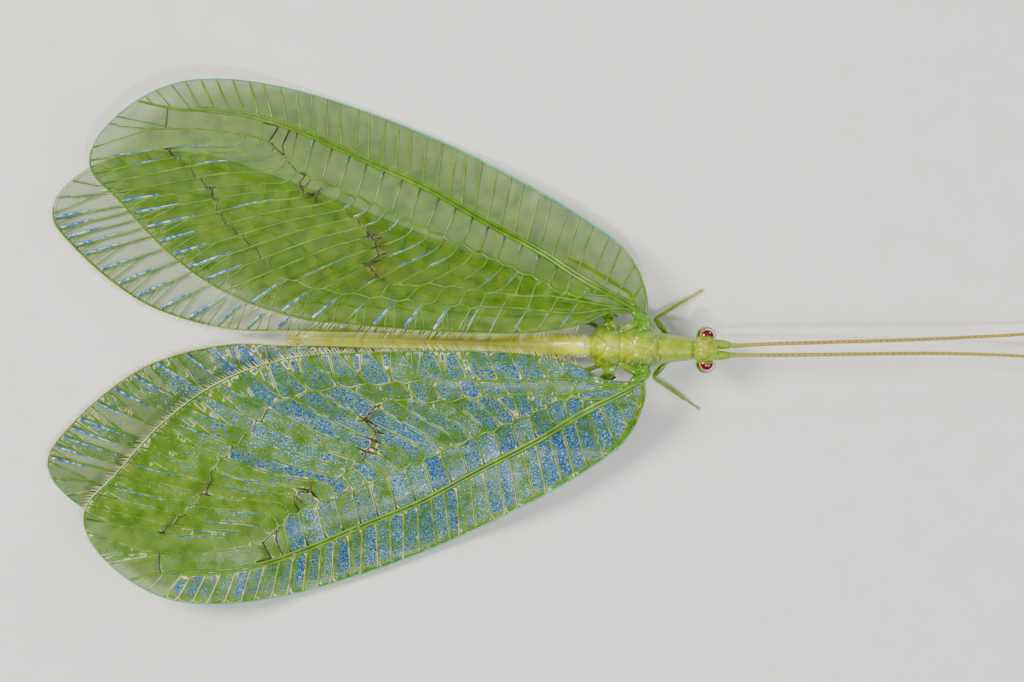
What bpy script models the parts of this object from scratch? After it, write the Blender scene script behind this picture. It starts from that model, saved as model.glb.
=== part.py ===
"""Green lacewing at life size, pressed flat with its wings spread back, feelers straight ahead.

All design sizes are in millimetres. +X runs to the head, +Y to the insect's left, +Z up.
"""

import math

import bmesh
import bpy
from mathutils import Vector
from mathutils.geometry import delaunay_2d_cdt

MM = 0.001

# Gaps between neighbouring nodes
GAP = 0.3
EYE_GAP = 0.15

# Wings: one outline a pair, in wing axes (u from the hinge to the apex, v towards the costa)
WING_THICK = 0.48
WING_STACK = 0.86
WING_LOW = WING_THICK / 2
WING_LIFT = 1.11
OUTLINE_STEP = 0.75
FIELD_STEP = 1.6
FORE_HINGE = (0.6, 0.95)
HIND_HINGE = (-0.45, 0.95)
FORE_SWEEP = {"left": 14.4, "right": 16.1}
HIND_SWEEP = {"left": 9.4, "right": 10.9}
FORE_REAR_WIDTH = {"left": 0.95, "right": 1.05}
HIND_REAR_WIDTH = {"left": 0.96, "right": 1.05}

FORE_OUTLINE = [
    (-0.19, 0.14), (-0.08, 0.62), (0.38, 1.37), (1.1, 2.02), (2.3, 2.5), (4.4, 3.08),
    (7.4, 3.68), (10.4, 3.98), (12.8, 4.0), (14.9, 3.68), (16.4, 3.08), (17.6, 1.95),
    (18.3, 0.55), (18.15, -0.35), (16.9, -1.18), (15.0, -2.35), (13.0, -3.08), (10.6, -3.26),
    (8.2, -2.85), (5.5, -2.25), (3.3, -1.6), (1.9, -0.95), (1.05, -0.24), (0.36, -0.02),
]
HIND_OUTLINE = [
    (-0.31, 0.14), (0.6, 0.42), (3.0, 0.9), (6.0, 1.45), (9.0, 2.02), (11.5, 2.46),
    (13.6, 2.68), (15.2, 2.47), (16.6, 1.95), (17.6, 1.15), (18.12, 0.25), (18.0, -0.45),
    (17.2, -1.17), (15.8, -2.05), (14.3, -2.65), (11.9, -2.87), (9.65, -2.5), (7.3, -2.07),
    (4.85, -1.63), (2.6, -1.05), (1.85, -0.72), (1.18, -0.5), (0.41, 0.01),
]

# Veins raised in the wings' upper faces
RIDGE = {"main": (0.12, 0.17), "cross": (0.09, 0.13)}
RIM_INSET = 0.18
VEIN_STEP = 1.15
FORE_VEINS = {
    "radius": [(0.25, 0.1), (1.0, 0.37), (2.42, 0.7), (5.6, 1.53), (9.8, 2.34), (13.2, 2.7), (15.1, 2.5),
               (17.05, 2.2)],
    "sector": [(1.6, 0.48), (2.4, 0.1), (3.3, 0.24), (5.35, 0.55), (8.1, 0.97), (10.8, 1.36), (12.7, 1.98),
               (14.5, 2.06), (16.5, 1.54), (17.8, 1.0)],
    "inner": [(1.0, 0.0), (2.05, -0.1), (3.76, -0.5), (6.36, -0.81), (7.7, -1.2), (8.78, -0.1), (9.9, 0.5),
              (11.4, 1.0)],
    "outer": [(1.5, -0.5), (3.68, -0.85), (6.17, -1.42), (9.02, -1.92), (10.8, -2.03), (12.45, -1.41),
              (13.9, -0.5), (14.9, 0.4), (15.9, 1.1)],
}
HIND_VEINS = {
    "radius": [(0.25, 0.12), (3.0, 0.52), (6.0, 1.05), (9.0, 1.6), (11.5, 2.02), (13.5, 2.18), (15.6, 1.85),
               (16.9, 1.3)],
    "sector": [(1.6, 0.25), (3.4, 0.15), (6.0, 0.5), (9.0, 0.9), (12.0, 1.25), (14.0, 1.35), (16.0, 1.0),
               (17.5, 0.5)],
    "outer": [(1.4, -0.15), (3.4, -0.6), (6.0, -0.9), (9.0, -1.3), (11.0, -1.45), (12.8, -1.1), (14.4, -0.25),
              (15.6, 0.5)],
}
FORE_BRANCHES = 11
HIND_BRANCHES = 9
COSTAL_VEINLETS = 16

# Body sections: x, half width, lowest z, highest z
MESOTHORAX = [
    (1.0, 0.34, 1.05, 1.95), (0.9, 0.52, 0.95, 2.2), (0.7, 0.68, 0.85, 2.42), (0.45, 0.74, 0.8, 2.5),
    (0.2, 0.7, 0.8, 2.46), (0.08, 0.55, 0.85, 2.3),
]
METATHORAX = [
    (-0.22, 0.52, 0.85, 2.2), (-0.32, 0.66, 0.8, 2.33), (-0.55, 0.66, 0.8, 2.28),
    (-0.8, 0.54, 0.85, 2.05), (-0.95, 0.4, 0.9, 1.8),
]
PROTHORAX = [
    (2.15, 0.28, 1.0, 1.75), (2.05, 0.34, 0.95, 1.88), (1.7, 0.38, 0.95, 1.98),
    (1.38, 0.45, 0.95, 2.08), (1.24, 0.38, 1.0, 1.98),
]
HEAD = [
    (2.38, 0.22, 1.05, 1.72), (2.48, 0.28, 0.9, 1.86), (2.66, 0.29, 0.76, 1.95),
    (2.86, 0.29, 0.66, 1.94), (2.98, 0.38, 0.62, 1.88), (3.08, 0.4, 0.66, 1.76), (3.12, 0.34, 0.72, 1.7),
]
# Mouthparts: the labrum and jaws below the face, and a palp on each side of them
JAWS = [(2.62, 0.74, 0.22, 0.3), (2.72, 0.56, 0.24, 0.22), (2.82, 0.42, 0.16, 0.14)]
PALP = [(2.72, 0.16, 0.7, 0.12), (2.95, 0.26, 0.5, 0.13), (3.2, 0.28, 0.36, 0.12), (3.4, 0.26, 0.32, 0.07)]
PALP_STEP = 0.25
ABDOMEN_SPINE = [
    (-1.25, 0.32, 0.78, 1.42), (-1.7, 0.38, 0.52, 1.3), (-2.4, 0.4, 0.2, 1.1), (-3.2, 0.42, 0.06, 0.95),
    (-5.0, 0.44, 0.04, 0.87), (-7.0, 0.48, 0.04, 0.86), (-8.5, 0.47, 0.04, 0.85),
    (-9.6, 0.41, 0.05, 0.82), (-10.3, 0.3, 0.08, 0.7), (-10.72, 0.12, 0.22, 0.5),
]
ABDOMEN_SEGMENTS = 9
SEGMENT_PINCH = 0.07
BODY_SIDES = 18
BODY_SQUARENESS = 2.5

HEAD_FLANK = 0.28
EYE_CENTRE = (2.7, 1.42)
EYE_RADII = (0.33, 0.32, 0.4)
EYE_SIDES = 16
EYE_RINGS = 5

# Feelers: x, middle of the pair, half the space between them, z, radius
FEELERS = [
    (3.34, 0.0, 0.33, 1.5, 0.19), (3.45, 0.0, 0.335, 1.52, 0.22), (3.65, 0.01, 0.335, 1.54, 0.2),
    (4.5, 0.05, 0.335, 1.52, 0.19), (6.5, 0.15, 0.335, 1.4, 0.19), (9.4, 0.29, 0.345, 1.2, 0.18),
    (12.9, 0.45, 0.42, 0.95, 0.17), (16.5, 0.6, 0.75, 0.72, 0.15), (20.0, 0.65, 1.35, 0.52, 0.12),
    (23.0, 0.6, 2.0, 0.38, 0.07),
]
FEELER_STEP = 1.3
FEELER_SIDES = 8

# Legs on the left side: x, y, z, radius, from the hip to the claws
LEGS = {
    "leg_fore": [
        (1.72, 0.24, 0.64, 0.2), (1.5, 0.42, 0.5, 0.24), (1.12, 0.78, 0.42, 0.24),
        (1.22, 1.08, 0.36, 0.22), (1.75, 1.38, 0.28, 0.21), (2.15, 1.62, 0.18, 0.2), (2.55, 1.88, 0.13, 0.15),
    ],
    "leg_mid": [
        (0.6, 0.42, 0.48, 0.22), (0.55, 0.8, 0.44, 0.24), (0.42, 1.45, 0.42, 0.24),
        (0.05, 1.95, 0.38, 0.22), (-0.7, 2.35, 0.28, 0.21), (-1.3, 2.62, 0.18, 0.2), (-1.75, 2.8, 0.13, 0.15),
    ],
    "leg_hind": [
        (-0.55, 0.42, 0.48, 0.22), (-0.75, 0.7, 0.44, 0.24), (-1.3, 1.0, 0.4, 0.24),
        (-2.4, 1.08, 0.36, 0.22), (-3.4, 1.18, 0.28, 0.21), (-4.1, 1.32, 0.18, 0.2), (-4.7, 1.45, 0.13, 0.15),
    ],
}
LEG_STEP = 0.34
LEG_SIDES = 8

COLOURS = {
    "body": (0.36, 0.5, 0.05, 1.0),
    "eye": (0.16, 0.11, 0.03, 1.0),
    "feeler": (0.46, 0.33, 0.09, 1.0),
    "wing": (0.27, 0.42, 0.12, 1.0),
    "leg": (0.24, 0.44, 0.08, 1.0),
}


def ease(t):
    t = min(max(t, 0.0), 1.0)
    return t * t * (3.0 - 2.0 * t)


def blend(a, b, t):
    return a + (b - a) * t


def smooth_path(points, step):
    """Points about every step along a smooth curve through the given points."""
    points = [tuple(p) for p in points]
    count = len(points)
    out = []
    for i in range(count - 1):
        p1, p2 = Vector(points[i]), Vector(points[i + 1])
        p0 = Vector(points[i - 1]) if i else p1 + (p1 - p2)
        p3 = Vector(points[i + 2]) if i + 2 < count else p2 + (p2 - p1)
        knots = [0.0]
        for a, b in ((p0, p1), (p1, p2), (p2, p3)):
            knots.append(knots[-1] + max((b - a).length, 1e-6) ** 0.5)
        pieces = max(1, round((p2 - p1).length / step))
        for k in range(pieces):
            t = blend(knots[1], knots[2], k / pieces)
            a1 = p0.lerp(p1, (t - knots[0]) / (knots[1] - knots[0]))
            a2 = p1.lerp(p2, (t - knots[1]) / (knots[2] - knots[1]))
            a3 = p2.lerp(p3, (t - knots[2]) / (knots[3] - knots[2]))
            b1 = a1.lerp(a2, (t - knots[0]) / (knots[2] - knots[0]))
            b2 = a2.lerp(a3, (t - knots[1]) / (knots[3] - knots[1]))
            out.append(b1.lerp(b2, (t - knots[1]) / (knots[2] - knots[1])))
    out.append(Vector(points[-1]))
    return out


def material(name):
    """A plain coloured finish, made once for each kind of surface."""
    found = bpy.data.materials.get(name)
    if found:
        return found
    made = bpy.data.materials.new(name)
    made.use_nodes = True
    shader = made.node_tree.nodes["Principled BSDF"]
    shader.inputs["Base Color"].default_value = COLOURS[name]
    shader.inputs["Roughness"].default_value = 0.15 if name == "eye" else 0.35
    shader.inputs["Metallic"].default_value = 0.0
    return made


def make_object(name, verts, faces, finish):
    """A closed mesh in millimetres becomes a named object in metres."""
    mesh = bpy.data.meshes.new(name)
    mesh.from_pydata([(x * MM, y * MM, z * MM) for x, y, z in verts], [], faces)
    mesh.materials.append(material(finish))
    edit = bmesh.new()
    edit.from_mesh(mesh)
    bmesh.ops.recalc_face_normals(edit, faces=edit.faces)
    edit.to_mesh(mesh)
    edit.free()
    mesh.shade_smooth()
    mesh.set_sharp_from_angle(angle=math.radians(40))
    made = bpy.data.objects.new(name, mesh)
    bpy.context.scene.collection.objects.link(made)
    return made


def skin_rings(rings):
    """Joins rings of equally many points into a closed skin with flat ends."""
    sides = len(rings[0])
    verts = [p for ring in rings for p in ring]
    faces = [tuple(range(sides)), tuple(range(len(verts) - sides, len(verts)))[::-1]]
    for r in range(len(rings) - 1):
        for k in range(sides):
            a, b = r * sides + k, r * sides + (k + 1) % sides
            faces.append((a, a + sides, b + sides, b))
    return verts, faces


def body_ring(x, half_width, low, high, sides=BODY_SIDES):
    """A rounded-square section across the body."""
    ring = []
    middle, half_height = (low + high) / 2, (high - low) / 2
    for k in range(sides):
        angle = 2 * math.pi * (k + 0.5) / sides
        c, s = math.cos(angle), math.sin(angle)
        y = half_width * math.copysign(abs(c) ** (2 / BODY_SQUARENESS), c)
        z = middle + half_height * math.copysign(abs(s) ** (2 / BODY_SQUARENESS), s)
        ring.append((x, y, z))
    return ring


def body_part(name, sections):
    return make_object(name, *skin_rings([body_ring(*s) for s in sections]), "body")


def fuse(whole, pieces):
    """Joins closed pieces to the object that carries them and removes them."""
    group = bpy.data.collections.new(f"{whole.name}_pieces")
    for piece in pieces:
        group.objects.link(piece)
    union = whole.modifiers.new("union", "BOOLEAN")
    union.operation = "UNION"
    union.operand_type = "COLLECTION"
    union.collection = group
    evaluated = whole.evaluated_get(bpy.context.evaluated_depsgraph_get())
    mesh = bpy.data.meshes.new_from_object(evaluated)
    whole.modifiers.remove(union)
    whole.data = mesh
    for piece in pieces:
        bpy.data.objects.remove(piece)
    bpy.data.collections.remove(group)


def head():
    """The skull with its face in front, the jaws below and the two palps."""
    skull = body_part("head", HEAD)
    rings = []
    for x, z, half_width, half_length in JAWS:
        ring = []
        for k in range(FEELER_SIDES):
            a = 2 * math.pi * (k + 0.5) / FEELER_SIDES
            ring.append((x + half_length * math.cos(a), half_width * math.sin(a), z))
        rings.append(ring)
    pieces = [make_object("jaws", *skin_rings(rings), "body")]
    for sign in (1, -1):
        stations = [(x, sign * y, z, r) for x, y, z, r in PALP]
        pieces.append(smooth_tube(f"palp_{sign}", stations, PALP_STEP, FEELER_SIDES, "body"))
    fuse(skull, pieces)


def section_at(sections, x):
    """Half width, lowest and highest z of a row of sections at x."""
    for a, b in zip(sections, sections[1:]):
        if b[0] <= x <= a[0]:
            t = ease((a[0] - x) / (a[0] - b[0])) * 0.5 + 0.5 * (a[0] - x) / (a[0] - b[0])
            return tuple(blend(a[k], b[k], t) for k in (1, 2, 3))
    return sections[-1][1:]


def abdomen():
    """Nine segments, each full in its middle and drawn in at the joint behind it."""
    front, tip = ABDOMEN_SPINE[0][0], ABDOMEN_SPINE[-1][0]
    rings = []
    steps = ABDOMEN_SEGMENTS * 2
    for k in range(steps + 1):
        x = blend(front, tip, k / steps)
        half_width, low, high = section_at(ABDOMEN_SPINE, x)
        pinch = 1.0 - (SEGMENT_PINCH if k % 2 == 0 and 0 < k < steps else 0.0)
        middle, half_height = (low + high) / 2, (high - low) / 2
        rings.append(body_ring(x, half_width * pinch, middle - half_height * pinch,
                               middle + half_height * pinch))
    make_object("abdomen", *skin_rings(rings), "body")


def eye(side, name):
    """A dome that bulges from the head's flank, flat towards the head."""
    x, z = EYE_CENTRE
    rx, ry, rz = EYE_RADII
    inner = HEAD_FLANK + EYE_GAP
    rings = []
    for r in range(EYE_RINGS):
        lean = 0.5 * math.pi * r / EYE_RINGS
        ring = []
        for k in range(EYE_SIDES):
            a = 2 * math.pi * k / EYE_SIDES
            ring.append((x + rx * math.cos(lean) * math.cos(a), side * (inner + ry * math.sin(lean)),
                         z + rz * math.cos(lean) * math.sin(a)))
        rings.append(ring)
    verts, faces = skin_rings(rings)
    faces.pop(1)
    verts.append((x, side * (inner + ry), z))
    first = (EYE_RINGS - 1) * EYE_SIDES
    for k in range(EYE_SIDES):
        faces.append((first + k, len(verts) - 1, first + (k + 1) % EYE_SIDES))
    make_object(name, verts, faces, "eye")


def tube(name, path, radii, sides, finish):
    """A round tapering tube along a path; what would reach below the floor is pressed flat on it."""
    rings = []
    up = Vector((0, 0, 1))
    for i, p in enumerate(path):
        ahead = path[min(i + 1, len(path) - 1)] - path[max(i - 1, 0)]
        across = ahead.cross(up).normalized()
        lift = across.cross(ahead).normalized()
        ring = []
        for k in range(sides):
            a = 2 * math.pi * (k + 0.5) / sides
            q = p + (across * math.cos(a) + lift * math.sin(a)) * radii[i]
            ring.append((q.x, q.y, max(q.z, 0.0)))
        rings.append(ring)
    return make_object(name, *skin_rings(rings), finish)


def smooth_tube(name, stations, step, sides, finish):
    """A tube through stations of x, y, z and radius."""
    path = smooth_path([Vector(s) for s in stations], step)
    return tube(name, [Vector(p[:3]) for p in path], [p[3] for p in path], sides, finish)


def drape(x, y):
    """Middle height of a hindwing: low on the floor outside, raised over the abdomen and legs."""
    y = abs(y)
    out = ease((-5.0 - x) / 3.5)
    start, end = blend(1.1, 0.55, out), blend(3.6, 2.8, out)
    over_body = 1.0 - ease((y - start) / (end - start))
    behind_tip = 1.0 - ease((-9.6 - x) / 4.2)
    at_root = 1.0 - 0.12 * ease((x + 1.0) / 1.5)
    return WING_LOW + WING_LIFT * over_body * behind_tip * at_root


def droop(u, inward):
    """How far a forewing's costal strip comes down in front of the hindwing."""
    along = 0.8 * ease((u - 3.0) / 5.0) * (1.0 - ease((u - 11.5) / 4.0))
    return along * (1.0 - ease(inward / 2.2))


def distance_to(point, path):
    """Shortest distance in the plane from a point to a polyline."""
    best = 1e9
    for a, b in zip(path, path[1:]):
        run = b - a
        t = min(max((point - a).dot(run) / max(run.length_squared, 1e-12), 0.0), 1.0)
        best = min(best, (point - a - run * t).length)
    return best


def at_fraction(path, fraction):
    """The point a fraction of the way along a polyline."""
    lengths = [(b - a).length for a, b in zip(path, path[1:])]
    left = fraction * sum(lengths)
    for a, b, length in zip(path, path[1:], lengths):
        if left <= length:
            return a.lerp(b, left / length)
        left -= length
    return path[-1].copy()


def offset_path(path, distance):
    """A polyline moved sideways, to its left where distance is positive."""
    moved = []
    for i, p in enumerate(path):
        ahead = path[min(i + 1, len(path) - 1)] - path[max(i - 1, 0)]
        moved.append(p + Vector((-ahead.y, ahead.x)).normalized() * distance)
    return moved


def trimmed(path, start, end):
    """A polyline shortened by a length at each end."""
    total = sum((b - a).length for a, b in zip(path, path[1:]))
    low, high = start / total, 1.0 - end / total
    inner = [p for i, p in enumerate(path) if low < i / (len(path) - 1) < high]
    return [at_fraction(path, low)] + inner + [at_fraction(path, high)]


def vein_plan(lines, outline, branch_count, veinlet_count):
    """The ridges of one wing: its rim, long veins, costal veinlets and the branches to the rear edge."""
    ridges = [("main", offset_path(outline, -RIM_INSET))]
    smooth = {name: smooth_path([Vector(p) for p in points], VEIN_STEP) for name, points in lines.items()}
    ridges += [("main", path) for path in smooth.values()]
    half = len(outline) // 2
    costa, rear = outline[1:half], outline[half:-3][::-1]
    for k in range(veinlet_count):
        f = (k + 0.5) / veinlet_count
        foot, head = at_fraction(smooth["radius"], 0.04 + 0.86 * f), at_fraction(costa, 0.07 + 0.8 * f)
        ridges.append(("cross", trimmed([foot, head], RIDGE["main"][1], RIM_INSET * 2)))
    for k in range(branch_count):
        f = (k + 0.5) / branch_count
        stops = [at_fraction(smooth["sector"], 0.1 + 0.82 * f)]
        stops.append(at_fraction(smooth["outer"], 0.14 + 0.84 * f))
        stops.append(at_fraction(rear, 0.2 + 0.74 * f))
        path = smooth_path(stops, VEIN_STEP)
        ridges.append(("cross", trimmed(path, RIDGE["main"][1], RIM_INSET * 2)))
    return ridges


def wing(name, side, outline_points, hinge, sweep, rear_width, stacked, lines, branches):
    """A membrane of even thickness with raised veins, its two faces split into the same triangles."""
    outline = smooth_path([Vector(p) for p in outline_points[:-1]], OUTLINE_STEP)
    outline.append(Vector(outline_points[-1]))
    costa = outline[: len(outline) // 2]
    plan = list(outline)
    edges = [(i, (i + 1) % len(outline)) for i in range(len(outline))]
    ridges = vein_plan(lines, outline, branches, COSTAL_VEINLETS)
    for kind, path in ridges:
        reach = RIDGE[kind][1]
        for line in (path, offset_path(path, reach), offset_path(path, -reach)):
            first = len(plan)
            plan += line
            edges += [(first + i, first + i + 1) for i in range(len(line) - 1)]
    low_u, high_u = min(p.x for p in outline), max(p.x for p in outline)
    low_v, high_v = min(p.y for p in outline), max(p.y for p in outline)
    ring = outline + [outline[0]]
    u = low_u + FIELD_STEP
    while u < high_u:
        v = low_v + FIELD_STEP / 2
        while v < high_v:
            p = Vector((u, v))
            if min(distance_to(p, path) for path in [ring] + [r[1] for r in ridges]) > FIELD_STEP / 4:
                plan.append(p)
            v += FIELD_STEP
        u += FIELD_STEP
    flat, _, tris, _, _, _ = delaunay_2d_cdt(plan, edges, [], 1, 0.03)
    sign = 1 if side == "left" else -1
    turn = math.radians(sweep)
    top, bottom = [], []
    for p in flat:
        v = p.y * (rear_width if p.y < 0 else 1.0)
        x = hinge[0] - p.x * math.cos(turn) + v * math.sin(turn)
        y = max(hinge[1] + p.x * math.sin(turn) + v * math.cos(turn), GAP / 2)
        z = drape(x, y)
        if stacked:
            z += WING_STACK - droop(p.x, distance_to(p, costa))
        raised = max(RIDGE[kind][0] * (1.0 - distance_to(p, path) / RIDGE[kind][1]) for kind, path in ridges)
        top.append((x, sign * y, z + WING_THICK / 2 + max(raised, 0.0)))
        bottom.append((x, sign * y, z - WING_THICK / 2))
    count = len(top)
    faces = [tuple(t) for t in tris]
    faces += [tuple(i + count for i in reversed(t)) for t in tris]
    used = {}
    for t in tris:
        for a, b in zip(t, t[1:] + t[:1]):
            used[(a, b)] = True
    for a, b in used:
        if (b, a) not in used:
            faces.append((b, a, a + count, b + count))
    make_object(name, top + bottom, faces, "wing")


def legs():
    for sign, side in ((1, "left"), (-1, "right")):
        for name, stations in LEGS.items():
            mirrored = [(x, sign * y, z, r) for x, y, z, r in stations]
            smooth_tube(f"{name}_{side}", mirrored, LEG_STEP, LEG_SIDES, "leg")


def feelers():
    for sign, side in ((1, "left"), (-1, "right")):
        stations = [(x, middle + sign * half, z, r) for x, middle, half, z, r in FEELERS]
        smooth_tube(f"antenna_{side}", stations, FEELER_STEP, FEELER_SIDES, "feeler")


def wings():
    for side in ("left", "right"):
        wing(f"hindwing_{side}", side, HIND_OUTLINE, HIND_HINGE, HIND_SWEEP[side],
             HIND_REAR_WIDTH[side], False, HIND_VEINS, HIND_BRANCHES)
        wing(f"forewing_{side}", side, FORE_OUTLINE, FORE_HINGE, FORE_SWEEP[side],
             FORE_REAR_WIDTH[side], True, FORE_VEINS, FORE_BRANCHES)


def centre_over_origin():
    """Puts the origin on the floor under the middle of the whole insect."""
    points = [v.co for o in bpy.context.scene.objects for v in o.data.vertices]
    shift = Vector((
        -(min(p.x for p in points) + max(p.x for p in points)) / 2,
        -(min(p.y for p in points) + max(p.y for p in points)) / 2,
        -min(p.z for p in points),
    ))
    for o in bpy.context.scene.objects:
        for v in o.data.vertices:
            v.co += shift


def main():
    for old in list(bpy.data.objects):
        bpy.data.objects.remove(old)
    head()
    eye(1, "eye_left")
    eye(-1, "eye_right")
    body_part("prothorax", PROTHORAX)
    body_part("mesothorax", MESOTHORAX)
    body_part("metathorax", METATHORAX)
    abdomen()
    feelers()
    legs()
    wings()
    centre_over_origin()


main()
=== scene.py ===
# A green lacewing at rest, dressed over its CAD solids. Lengths are in millimetres until a mesh is made.
import math
import random
from functools import partial

import bmesh
import bpy
import numpy as np
from mathutils import Matrix, Vector
from mathutils.geometry import delaunay_2d_cdt, intersect_line_line_2d
from mathutils.kdtree import KDTree


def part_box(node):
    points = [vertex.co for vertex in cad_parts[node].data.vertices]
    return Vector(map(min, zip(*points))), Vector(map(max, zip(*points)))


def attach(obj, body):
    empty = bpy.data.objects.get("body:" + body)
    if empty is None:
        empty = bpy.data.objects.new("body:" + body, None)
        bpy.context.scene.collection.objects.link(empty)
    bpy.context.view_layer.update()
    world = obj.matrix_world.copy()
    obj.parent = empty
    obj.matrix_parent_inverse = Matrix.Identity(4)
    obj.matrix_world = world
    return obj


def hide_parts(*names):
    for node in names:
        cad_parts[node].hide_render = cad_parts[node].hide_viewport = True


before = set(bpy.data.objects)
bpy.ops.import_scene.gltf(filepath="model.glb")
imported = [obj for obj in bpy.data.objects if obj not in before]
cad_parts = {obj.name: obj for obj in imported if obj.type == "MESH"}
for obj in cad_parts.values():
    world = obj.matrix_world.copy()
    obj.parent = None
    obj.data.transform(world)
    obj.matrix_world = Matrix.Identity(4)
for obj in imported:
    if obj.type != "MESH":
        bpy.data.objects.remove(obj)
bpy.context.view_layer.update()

collection = bpy.context.scene.collection
upward = Vector((0, 0, 1))

# The solids were centred over the origin, so the eyes show how far they were moved
eyeBoxes = [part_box("eye_left"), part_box("eye_right")]
bodyShift = Vector((
    (eyeBoxes[0][0].x + eyeBoxes[0][1].x) * 500 - 2.7,
    sum(low.y + high.y for low, high in eyeBoxes) * 250,
    0,
))
print("solids loaded, insect moved by", [round(c, 3) for c in bodyShift])


def ease(t):
    t = min(max(t, 0.0), 1.0)
    return t * t * (3.0 - 2.0 * t)


def blend(a, b, t):
    return a + (b - a) * t


def smoothPath(points, step):
    # Points about every step along a curve that passes through the given ones
    points = [Vector(p) for p in points]
    out = []
    for i in range(len(points) - 1):
        p1, p2 = points[i], points[i + 1]
        p0 = points[i - 1] if i else p1 * 2 - p2
        p3 = points[i + 2] if i + 2 < len(points) else p2 * 2 - p1
        knots = [0.0]
        for a, b in ((p0, p1), (p1, p2), (p2, p3)):
            knots.append(knots[-1] + max((b - a).length, 1e-6) ** 0.5)
        pieces = max(1, round((p2 - p1).length / step))
        for k in range(pieces):
            t = blend(knots[1], knots[2], k / pieces)
            a1 = p0.lerp(p1, (t - knots[0]) / (knots[1] - knots[0]))
            a2 = p1.lerp(p2, (t - knots[1]) / (knots[2] - knots[1]))
            a3 = p2.lerp(p3, (t - knots[2]) / (knots[3] - knots[2]))
            b1 = a1.lerp(a2, (t - knots[0]) / (knots[2] - knots[0]))
            b2 = a2.lerp(a3, (t - knots[1]) / (knots[3] - knots[1]))
            out.append(b1.lerp(b2, (t - knots[1]) / (knots[2] - knots[1])))
    return out + [points[-1]]


def pathLength(path):
    return sum((b - a).length for a, b in zip(path, path[1:]))


def pointAlong(path, fraction):
    left = fraction * pathLength(path)
    for a, b in zip(path, path[1:]):
        length = (b - a).length
        if left <= length:
            return a.lerp(b, left / max(length, 1e-9))
        left -= length
    return path[-1].copy()


def aheadAt(path, fraction, reach):
    return (pointAlong(path, min(fraction + reach, 1.0)) - pointAlong(path, fraction - reach)).normalized()


def pathBeside(path, distance):
    # The path moved to its left, or to its right for a distance below nought
    moved = []
    for i, p in enumerate(path):
        ahead = path[min(i + 1, len(path) - 1)] - path[max(i - 1, 0)]
        moved.append(p + Vector((-ahead.y, ahead.x)).normalized() * distance)
    return moved


def nearestAlong(path, point):
    # Distance from a point to a path, and how far along the path its foot is
    best, at, run = 1e9, 0.0, 0.0
    for a, b in zip(path, path[1:]):
        step = b - a
        t = min(max((point - a).dot(step) / max(step.length_squared, 1e-12), 0.0), 1.0)
        gap = (point - a - step * t).length
        if gap < best:
            best, at = gap, run + step.length * t
        run += step.length
    return best, at / max(run, 1e-9)


def crossing(path, other):
    # Where two paths meet: the point and its fraction along the other path
    total, run = pathLength(other), 0.0
    for a, b in zip(other, other[1:]):
        for c, d in zip(path, path[1:]):
            hit = intersect_line_line_2d(a, b, c, d)
            if hit is not None:
                return hit, (run + (hit - a).length) / total
        run += (b - a).length
    return None


def linear(colour):
    # An sRGB hex colour as the linear values that a shader takes
    parts = [int(colour[i:i + 2], 16) / 255 for i in (1, 3, 5)]
    return tuple(c / 12.92 if c <= 0.04045 else ((c + 0.055) / 1.055) ** 2.4 for c in parts) + (1.0,)


def addNode(tree, kind, inputs=None, stops=(), **settings):
    # One node; an input takes a value, a hex colour, an output, or a node for its first output. The stops
    # of a colour ramp are pairs of place and hex colour.
    node = tree.nodes.new(kind)
    for name, value in settings.items():
        setattr(node, name, value)
    for socket, value in (inputs or {}).items():
        if isinstance(value, bpy.types.Node):
            value = value.outputs[0]
        if isinstance(value, bpy.types.NodeSocket):
            tree.links.new(value, node.inputs[socket])
        else:
            isHex = isinstance(value, str) and value.startswith("#")
            node.inputs[socket].default_value = linear(value) if isHex else value
    for _ in stops[2:]:
        node.color_ramp.elements.new(0.5)
    for k, (place, colour) in enumerate(stops):
        node.color_ramp.elements[k].position = place
        node.color_ramp.elements[k].color = linear(colour)
    return node


smoothRange = {"interpolation_type": "SMOOTHSTEP"}


def newMaterial(name):
    # A bare material, and addNode for its own nodes
    made = bpy.data.materials.new(name)
    made.use_nodes = True
    made.node_tree.nodes.clear()
    return made, partial(addNode, made.node_tree)


def cloudedMaterial(name, scale, detail, stops, surface):
    # A finish whose colour drifts between the stops; the scale is in patches per metre
    made, add = newMaterial(name)
    place = add("ShaderNodeTexCoord").outputs["Object"]
    cloud = add("ShaderNodeTexNoise", {"Vector": place, "Scale": scale, "Detail": detail})
    colour = add("ShaderNodeValToRGB", {"Fac": cloud}, stops)
    shader = add("ShaderNodeBsdfPrincipled", {"Base Color": colour, **surface})
    add("ShaderNodeOutputMaterial", {"Surface": shader})
    return made


def inMetres(points):
    return [(Vector(p) + bodyShift) * 0.001 for p in points]


def newObject(name, verts, edges, faces):
    mesh = bpy.data.meshes.new(name)
    mesh.from_pydata(inMetres(verts), edges, faces)
    made = bpy.data.objects.new(name, mesh)
    collection.objects.link(made)
    return made


def storeValues(mesh, name, values, domain="POINT", kind="FLOAT"):
    made = mesh.attributes.new(name, kind, domain)
    key = "vector" if kind == "FLOAT_VECTOR" else "value"
    made.data.foreach_set(key, np.asarray(values, dtype=np.float32).ravel())


def readVectors(items, key):
    # One vector of every item, as the rows of an array
    values = np.empty(len(items) * 3, dtype=np.float32)
    items.foreach_get(key, values)
    return values.reshape(-1, 3)


def keepResult(obj):
    # The evaluated shape becomes the object's own plain mesh
    graph = bpy.context.evaluated_depsgraph_get()
    mesh = bpy.data.meshes.new_from_object(obj.evaluated_get(graph), preserve_all_data_layers=True,
                                           depsgraph=graph)
    obj.modifiers.clear()
    obj.data = mesh
    return obj


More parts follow.
